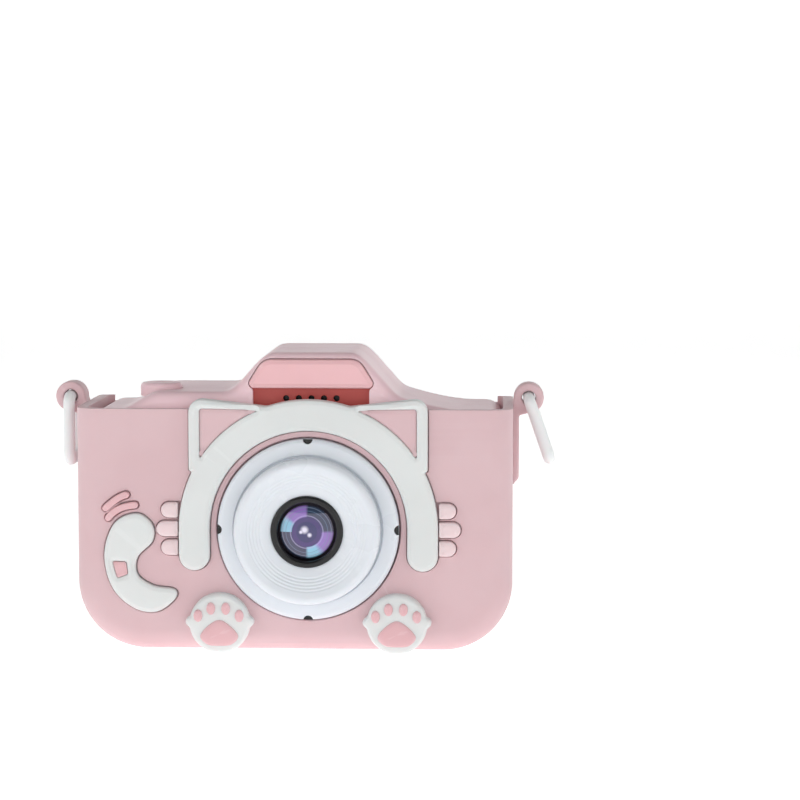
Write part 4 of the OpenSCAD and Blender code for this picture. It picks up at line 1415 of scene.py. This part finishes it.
@dataclass
class Shells:
    """The two plastic shells with the hood panel, the grille, the screws and the shutter button."""

    palette: Palette
    body: Silhouette = field(default_factory=Silhouette)
    face_y: float = 14.9
    wall: float = 1.9
    front_edge: float = 2.2
    rear_edge: float = 1.5
    hood_x: float = 3.4
    speaker_z: float = 49.3
    shutter: tuple[float, float] = (-27.0, -5.0)
    shutter_r: float = 4.1
    screws: tuple[tuple[float, float], ...] = ((30.2, 44.9), (-18.4, 46.7), (35.2, 12.0), (-35.2, 12.0))

    def half(self, sign: int, radius: float) -> tuple[Surface, np.ndarray]:
        """Rings of one shell from the joint to the edge of its face, and the outline of that face.

        Args:
            sign: -1 for the front shell, 1 for the rear one.
            radius: radius of the edge round its face.

        Returns:
            The surface so far, and the closed path at which the face begins.
        """
        outline = self.body.outline()
        levels = [(0.02, 0.16), (0.18, 0.0)] + [(y, 0.0) for y in np.linspace(1.0, self.face_y - radius, 9)]
        levels += [(self.face_y - radius * (1 - math.sin(a)), radius * (1 - math.cos(a))) for a in quarter(7)[1:]]
        surface = Surface()
        surface.rings([at_y(grow(outline, -inward), sign * y) for y, inward in levels])
        surface.fill([grow(outline, -0.16)], sign * 0.02)
        return surface, grow(outline, -radius)

    def hollow(self, sign: int) -> bpy.types.Object:
        """The room inside one shell."""
        outline = self.body.outline()
        levels = [(-1.0, 0.0), (self.face_y - self.wall - 0.6, 0.0), (self.face_y - self.wall, 0.6)]
        return block("hollow", [at_y(grow(outline, -self.wall - inward), sign * y) for y, inward in levels])

    def hood(self, gap: float) -> np.ndarray:
        """Outline of the hood panel, narrower at its top."""
        path = round_corners([(-12.9, 51.3), (12.9, 51.3), (9.25, 57), (-9.25, 57)], [1, 1, 3, 3]) + (self.hood_x, 0)
        return grow(even(path, 0.3), gap)

    def front(self) -> bpy.types.Object:
        """The front shell with the hood's seat, the grille's opening, the lens hole and the shutter's well."""
        surface, edge = self.half(-1, self.front_edge)
        surface.fill([edge], -self.face_y)
        shell = surface.build("front_shell_skin")
        speaker = (self.hood_x, self.speaker_z)
        seat = combine([self.hood(0.15), rounded_rect(speaker, 22.6, 5.4, 0.8)])[0]
        seat = soften(even(ccw(seat), 0.3), 2)
        x, y = self.shutter
        well = circle((x, y), self.shutter_r + 0.22, 0.3)
        cutters = [
            self.hollow(-1),
            prism("seat", seat, -self.face_y - 2, -self.face_y + 1.35),
            prism("lens", circle(tuple(LENS), 7.2), -self.face_y - 1, -10),
            prism("sound", rounded_rect(speaker, 12.5, 2.2, 1.0), -self.face_y, -12),
            block("well", [at_z(well, 48.4), at_z(well, 60)]),
        ]
        cut(shell, cutters)

        def chosen(p: np.ndarray) -> bool:
            """Tells the rims of the hood's seat and of the shutter's well."""
            at_seat = p[1] < -self.face_y + 0.7 and p[2] > 46
            return at_seat or p[2] > 50.2 and math.hypot(p[0] - x, p[1] - y) < self.shutter_r + 0.5

        round_edges(shell, 0.4, chosen)
        return shell

    def rear(self) -> bpy.types.Object:
        """The rear shell with the seats and holes of the display, the selfie window, the keys and the screws."""
        surface, edge = self.half(1, self.rear_edge)
        holes = [Pocket(circle(at, 2.88), 2.2, 0.35) for at in Keys.ROUND.values()]
        holes += [Pocket(Keys.half_outline(side, 0.18), 2.2, 0.3) for side in SIDES]
        holes += [Pocket(circle(at, 1.42, 0.2), 1.6, 0.15) for at in self.screws]
        holes.append(Pocket(circle((-21.6, 33.8), 0.5, 0.12), 1.0, 0.15))
        display = Pocket(rounded_rect(DISPLAY, 42.6, 32.6, 1.0), 1.2, 0.1)
        holes.append(Pocket(rounded_rect(DISPLAY, 47.6, 37.5, 5.1), 1.0, 0.3, [display]))
        selfie = Pocket(rounded_rect(SELFIE, 11.1, 7.5, 1.75), 1.2, 0.1)
        holes.append(Pocket(rounded_rect(SELFIE, 20.8, 9.6, 2.5), 1.1, 0.25, [selfie]))
        add_panel(surface, edge, holes, self.face_y, Facing.BACK)
        shell = surface.build("rear_shell_skin")
        cutters = [
            self.hollow(1),
            prism("card_slot", rounded_rect((21.5, 2.0), 11.8, 9.0, 0.3), 2.0, 3.4),
            prism("usb_slot", rounded_rect((6.0, 2.0), 8.0, 7.0, 1.2), 0.9, 4.1),
        ]
        cut(shell, cutters)
        return shell

    def grille(self) -> bpy.types.Object:
        """The grille: a thin plate with five round holes."""
        outline = rounded_rect((self.hood_x, 49.2), 24.2, 6.0, 0.9)
        holes = [circle((self.hood_x + 2.45 * k, self.speaker_z), 0.6, 0.15) for k in range(-2, 3)]
        return plate("speaker_grille_skin", outline, -13.2, -13.75, 0.12, 0.0, holes)

    def screw_set(self) -> bpy.types.Object:
        """Four screws, each turned in one profile, with a cross cut in its head."""
        shank = [(0, -8), (0.6, -7.6), (0.6, 0.1), (0.75, 0.1), (0.75, 13.3)]
        profile = np.array([*shank, (1.3, 13.3), (1.3, 14.1), (1.22, 14.3), (1.0, 14.4), (0, 14.4)])
        slot = np.array([(-0.85, -0.17), (0.85, -0.17), (0.85, 0.17), (-0.85, 0.17)])
        parts = []
        for k, at in enumerate(self.screws):
            screw = turned("screw", at, profile, 40)
            turn = math.radians(20 + 31 * k)
            bars = []
            for quarter_turn in (0, math.pi / 2):
                c, s = math.cos(turn + quarter_turn), math.sin(turn + quarter_turn)
                bars.append(prism("bar", slot @ np.array([(c, s), (-s, c)]) + at, 13.8, 15))
            cut(screw, bars)
            parts.append(screw)
        return join("shell_screw_skins", parts)

    def shutter_cap(self) -> bpy.types.Object:
        """The shutter button, turned about its own upright axis with a dished top."""
        r, top, edge = self.shutter_r, 51.7, 0.8
        profile = [(0.0, 46.3), (2.6, 46.3), (2.6, 46.9), (1.6, 46.9), (1.6, 49.1), (r, 49.1), (r, top - edge)]
        profile += corner(r, top - edge, edge, edge)
        profile += [(t * (r - edge), top - 0.28 * (1 - t**2)) for t in (0.8, 0.6, 0.4, 0.2, 0.0)]
        surface = Surface()
        surface.rings(upright(profile, self.shutter))
        return surface.build("shutter_cap")

    def build(self) -> None:
        """Makes and dresses every piece."""
        dress = self.palette.dress
        dress(self.front(), "shell", "front_shell")
        dress(self.rear(), "shell", "rear_shell")
        hood = plate("hood_skin", self.hood(-0.05), -13.7, -15.3, 0.55, 0.2)
        dress(hood, "hood", "hood_panel")
        # the grille's deep coral finish is painted shade of the recess under the hood
        dress(self.grille(), "grille", "speaker_grille")
        dress(self.screw_set(), "screw", "shell_screws")
        dress(self.shutter_cap(), "shell", "shutter_button", body="shutter")


@dataclass
class Keys:
    """The five keys on the back, which rise from the rear shell and move toward the lens."""

    palette: Palette
    back: float = 12.35
    top: float = 15.6
    radius: float = 2.7

    ROUND = {"power": (-25.8, 40.4), "up": (-27.9, 29.2), "down": (-27.9, 12.5)}
    PAIR = (-28.0, 20.8)

    @staticmethod
    def half_outline(side: int, gap: float) -> np.ndarray:
        """Outline of a half-round key whose flat side faces its twin."""
        end = math.degrees(math.acos(-1.05 / 3.25))
        path = soften(even(arc((1.05, 0), 3.25, -end, end), 0.2), 3)
        return grow(mirrored(path, side), gap) + (Keys.PAIR[0] + side * 0.85, Keys.PAIR[1])

    def round_key(self, name: str, at: tuple[float, float]) -> bpy.types.Object:
        """A round key with a flange at its back and a softly domed top."""
        r, back, top, edge = self.radius, self.back, self.top, 0.6
        profile = [(0.0, back), (r + edge, back), (r + edge, back + edge), (r, back + edge), (r, top - edge)]
        profile += corner(r, top - edge, edge, 0.5)
        profile += [(t * (r - edge), top - 0.1 * t**2) for t in (0.75, 0.5, 0.25, 0.0)]
        return turned(name, at, np.array(profile), 72)

    def build(self) -> None:
        """Makes and dresses every key."""
        for key, at in self.ROUND.items():
            piece = self.round_key(f"{key}_key_skin", at)
            self.palette.dress(piece, "button_white", f"{key}_button", body=f"{key}_key")
        for key, side in (("left", 1), ("right", -1)):
            outline = self.half_outline(side, 0)
            piece = plate(f"{key}_key_skin", outline, self.back, self.top - 0.08, 0.5, 0.08)
            self.palette.dress(piece, "button_white", f"{key}_button", body=f"{key}_key")


@dataclass
class Windows:
    """The display's cover glass and the selfie camera's window."""

    palette: Palette

    def build(self) -> None:
        """Makes and dresses both."""
        glass = plate("display_window_skin", rounded_rect(DISPLAY, 47.4, 37.3, 5.0), 13.95, 15.0, 0.25)
        self.palette.dress(glass, "screen_glass", "display_window")
        selfie = plate("selfie_window_skin", rounded_rect(SELFIE, 11.0, 7.4, 1.7), 13.05, 14.1, 0.2)
        self.palette.dress(selfie, "selfie_glass", "selfie_window", slot="screen_glass")


@dataclass
class LensUnit:
    """The toy-like lens: base ring, dished barrel, black trim ring and coated front glass."""

    palette: Palette
    back_y: float = -14.9
    base_r: float = 17.6
    base_y: float = -18.6
    barrel_r: float = 14.1
    barrel_y: float = -22.6
    bore: float = 7.0
    dish: float = 1.5
    rim: float = 1.6
    glass_r: float = 5.6

    def turn(self, name: str, profile: list[tuple[float, float]], segments: int = 192) -> bpy.types.Object:
        """A profile turned about the lens axis."""
        return turned(name, tuple(LENS), np.array(profile), segments)

    def notch(self, way: int) -> tuple[float, float]:
        """Middle of the notch that lies at an angle, in degrees, on the base ring's rim."""
        a = math.radians(way)
        return tuple(LENS + self.base_r * np.array((math.cos(a), math.sin(a))))

    def base(self) -> bpy.types.Object:
        """The base ring: rounded outside, a shadow groove round the barrel, and four half-round notches."""
        r, y = self.base_r, self.base_y
        profile = [(11.0, self.back_y), (r, self.back_y), (r, y + 1), *corner(r, y + 1, 1, -1, 8)]
        profile += [(14.75, y), (14.6, y + 0.05), (14.5, y + 0.2), (14.5, y + 0.7), (11.0, y + 0.7)]
        ring = self.turn("lens_base_skin", profile)
        cutters = []
        for way in range(0, 360, 90):
            cutters.append(prism("notch", circle(self.notch(way), 0.95, 0.15), -17.4, -30))
        cut(ring, cutters)
        return ring

    def barrel(self) -> bpy.types.Object:
        """The barrel: rounded rim, then a dish that falls to the bore with fine turned waves across it."""
        r, y = self.barrel_r, self.barrel_y
        flat = r - self.rim
        behind, edge, rim_y = self.base_y + 0.75, 1.2, y + 0.05
        profile = [(self.bore, self.back_y), (10.8, self.back_y), (10.8, behind), (r, behind), (r, y + edge)]
        profile += [*corner(r, y + edge, edge, -edge, 9), (flat + 0.2, y), (flat, rim_y)]
        first, last, pitch = 8.7, 11.7, 0.6
        for q in np.arange(flat - 0.15, self.bore, -0.06):
            slope = rim_y + self.dish * (flat - q) / (flat - self.bore)
            wave = 0.03 * (1 - math.cos(2 * math.pi * (q - first) / pitch)) if first <= q <= last else 0.0
            profile.append((q, slope + wave))
        profile.append((self.bore, rim_y + self.dish))
        return self.turn("lens_barrel_skin", profile)

    def trim(self) -> bpy.types.Object:
        """The black ring round the glass, with a rounded front."""
        inner, outer, back, front, edge = 5.65, 6.95, -19.4, -21.6, 0.45
        profile = [(inner, back), (outer, back), (outer, front + edge), *corner(outer, front + edge, edge, -edge)]
        profile += [(6.1, front), (5.85, front + 0.12), (inner, front + 0.4)]
        return self.turn("lens_trim_skin", profile, 128)

    def glass(self) -> bpy.types.Object:
        """The front glass: a shallow dome, part of a sphere."""
        r, sphere, top = self.glass_r, 14.0, -21.45
        profile = [(0.0, -19.8), (r, -19.8)]
        for q in np.linspace(r, 0, 15):
            profile.append((q, top + sphere - math.sqrt(sphere**2 - q**2)))
        return self.turn("front_glass_skin", profile, 128)

    def notches(self) -> bpy.types.Object:
        """Black half-round plates at the floors of the base ring's notches: painted shade."""
        parts = []
        for way in range(0, 360, 90):
            half = arc(self.notch(way), 0.93, way + 94, way + 266, 0.1)
            parts.append(plate("notch", half, -16.6, -17.9, 0.05))
        return join("lens_notch_shade", parts)

    def build(self) -> None:
        """Makes and dresses every piece."""
        dress = self.palette.dress
        # black plates in the notches stand for the shade inside them: painted shade
        dress(self.notches(), "black_plastic")
        dress(self.base(), "lens_white", "lens_base_ring")
        dress(self.barrel(), "lens_white", "lens_barrel")
        dress(self.trim(), "black_plastic", "lens_trim_ring")
        dress(self.glass(), "lens_glass", "lens_front_glass")


@dataclass
class Straps:
    """The two strap lugs of the case and the wire rings in them."""

    palette: Palette
    lug_x: float = 45.6
    lug_z: float = 48.5
    lug_r: float = 3.0
    length: float = 5.0
    bore: float = 1.35
    wire: float = 1.15
    ring_w: float = 8.4
    ring_h: float = 12.6
    bend: float = 1.6

    def lug(self, name: str, side: int) -> bpy.types.Object:
        """One lug: a round eye that runs down into a strip on the case's side."""
        x, z, r = self.lug_x, self.lug_z, self.lug_r
        strip = np.array([(42.3, 31.0), (43.7, 32.5), (43.7, 45.0), (x, z - r), (x, z), (x - r + 0.1, z), (42.3, 47.3)])
        outline = combine([circle((x, z), r), strip])[0]
        outline = mirrored(soften(even(ccw(outline), 0.2), 4), side)
        hole = mirrored(circle((x, z), self.bore, 0.15), side)
        return plate(name, outline, self.length / 2, -self.length / 2, 0.5, 0.0, [hole], both=True)

    def ring(self, name: str, side: int, tilt: float) -> bpy.types.Object:
        """One wire ring: a rounded rectangle that hangs from its pivot, tilted outward."""
        path = even(rounded_rect((0, -self.ring_h / 2), self.ring_w, self.ring_h, self.bend), 0.3)
        c, s = math.cos(math.radians(tilt)), math.sin(math.radians(tilt))
        x = side * (self.lug_x - path[:, 1] * s)
        return tube(name, np.column_stack((x, path[:, 0], self.lug_z + path[:, 1] * c)), self.wire)

    def build(self) -> None:
        """Makes and dresses both sides."""
        for name, side, tilt in (("left", -1, 0.0), ("right", 1, 19.0)):
            lug = self.lug(f"strap_lug_{name}_skin", side)
            self.palette.dress(lug, "silicone", f"strap_lug_{name}")
            ring = self.ring(f"strap_ring_{name}_skin", side, tilt)
            self.palette.dress(ring, "ring_white", f"strap_ring_{name}", body=f"ring_{name}")


class Insides:
    """The parts inside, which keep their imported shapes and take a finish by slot."""

    NODES = {
        "lens_holder": "black_plastic",
        "lens_elements": "lens_glass",
        "image_sensor_board": "circuit_board",
        "camera_flex": "flex",
        "main_board": "circuit_board",
        "button_board": "circuit_board",
        "button_switches": "metal",
        "battery": "battery_foil",
        "speaker": "black_plastic",
        "microphone": "metal",
        "display_panel": "display",
        "display_flex": "flex",
        "selfie_lens": "lens_glass",
        "selfie_camera_module": "black_plastic",
        "shutter_switch": "metal",
        "usb_port": "metal",
        "card_socket": "metal",
        "memory_card": "black_plastic",
        "board_screws": "metal",
    }

    @classmethod
    def build(cls, palette: Palette, nodes: dict[str, bpy.types.Object]) -> None:
        """Gives each kept node its finish.

        Args:
            palette: the finishes.
            nodes: the frame's nodes.
        """
        for name, finish in cls.NODES.items():
            for place in nodes[name].material_slots:
                place.material = palette.made[finish]
            log.info("%s keeps its packed shape", name)


# ---------------------------------------------------------------------------------------------- studio


@dataclass(frozen=True)
class Light:
    """A soft rectangular lamp that looks at the camera's middle."""

    name: str
    place: tuple[float, float, float]
    width: float
    height: float
    watts: float

    def build(self) -> None:
        """Adds the lamp."""
        lamp = bpy.data.lights.new(self.name, "AREA")
        lamp.shape = "RECTANGLE"
        lamp.size, lamp.size_y, lamp.energy = self.width, self.height, self.watts
        made = bpy.data.objects.new(self.name, lamp)
        made.location = self.place
        made.rotation_euler = (Vector((0, 0, 0.028)) - made.location).to_track_quat("-Z", "Y").to_euler()
        bpy.context.scene.collection.objects.link(made)


@dataclass(frozen=True)
class Studio:
    """A pale floor, soft lamps, and the camera."""

    azimuth: float = 2.5
    elevation: float = 5.2
    distance: float = 0.5
    lens: float = 113.0
    aim: tuple[float, float, float] = (0.0200, 0.0, 0.0478)

    LIGHTS = (
        Light("key_left", (-0.42, -0.34, 0.30), 0.34, 0.42, 0.5),
        Light("key_right", (0.42, -0.34, 0.30), 0.34, 0.42, 0.42),
        Light("top", (0.0, -0.05, 0.62), 0.55, 0.45, 0.3),
        Light("back_left", (-0.36, 0.42, 0.32), 0.36, 0.36, 0.32),
        Light("back_right", (0.36, 0.42, 0.32), 0.36, 0.36, 0.32),
    )

    def floor(self) -> bpy.types.Object:
        """A flat round floor, 0.1 mm under the model, that sweeps up at its rim in a quarter circle and glows."""
        flat, bend = 1300.0, 900.0
        profile = [(0.01, 0.0), (flat / 2, 0.0)]
        profile += [(flat + bend * math.sin(a), bend * (1 - math.cos(a))) for a in quarter(14)]
        surface = Surface()
        surface.rings(upright([(q, z - 0.1) for q, z in profile], (0.0, 0.0)), caps=(True, False))
        made = surface.build("floor", merge=1e-3)
        paint = Plastic("floor", (246, 246, 246), 0.7, grain=0.0).build()
        shader = next(n for n in paint.node_tree.nodes if n.type == "BSDF_PRINCIPLED")
        shader.inputs["Emission Color"].default_value = (1.0, 1.0, 1.0, 1.0)
        shader.inputs["Emission Strength"].default_value = 0.66
        made.data.materials.append(paint)
        return made

    def build(self) -> None:
        """Sets up the studio."""
        self.floor()
        for light in self.LIGHTS:
            light.build()
        scene = bpy.context.scene
        world = bpy.data.worlds.new("studio")
        scene.world = world
        world.use_nodes = True
        back = next(n for n in world.node_tree.nodes if n.type == "BACKGROUND")
        back.inputs["Color"].default_value = (1.0, 1.0, 1.0, 1.0)
        back.inputs["Strength"].default_value = 0.12
        scene.view_settings.view_transform = "Standard"
        aim = Vector(self.aim)
        a, e = math.radians(self.azimuth), math.radians(self.elevation)
        way = Vector((math.sin(a) * math.cos(e), -math.cos(a) * math.cos(e), math.sin(e)))
        lens = bpy.data.cameras.new("view")
        lens.lens = self.lens
        lens.clip_start = 0.01
        view = bpy.data.objects.new("view", lens)
        view.location = aim + way * self.distance
        view.rotation_euler = (-way).to_track_quat("-Z", "Y").to_euler()
        scene.collection.objects.link(view)
        scene.camera = view


def main() -> None:
    """Builds the dressed camera."""
    logging.basicConfig(level=logging.INFO, format="%(name)s: %(message)s")
    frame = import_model()
    Groups.build()
    palette = Palette()
    Insides.build(palette, frame["nodes"])
    for assembly in (RubberCase, Shells, Keys, Windows, LensUnit, Straps):
        log.info("%s", assembly.__name__)
        assembly(palette).build()
    Studio().build()
    bpy.context.view_layer.update()


if __name__ == "__main__":
    main()
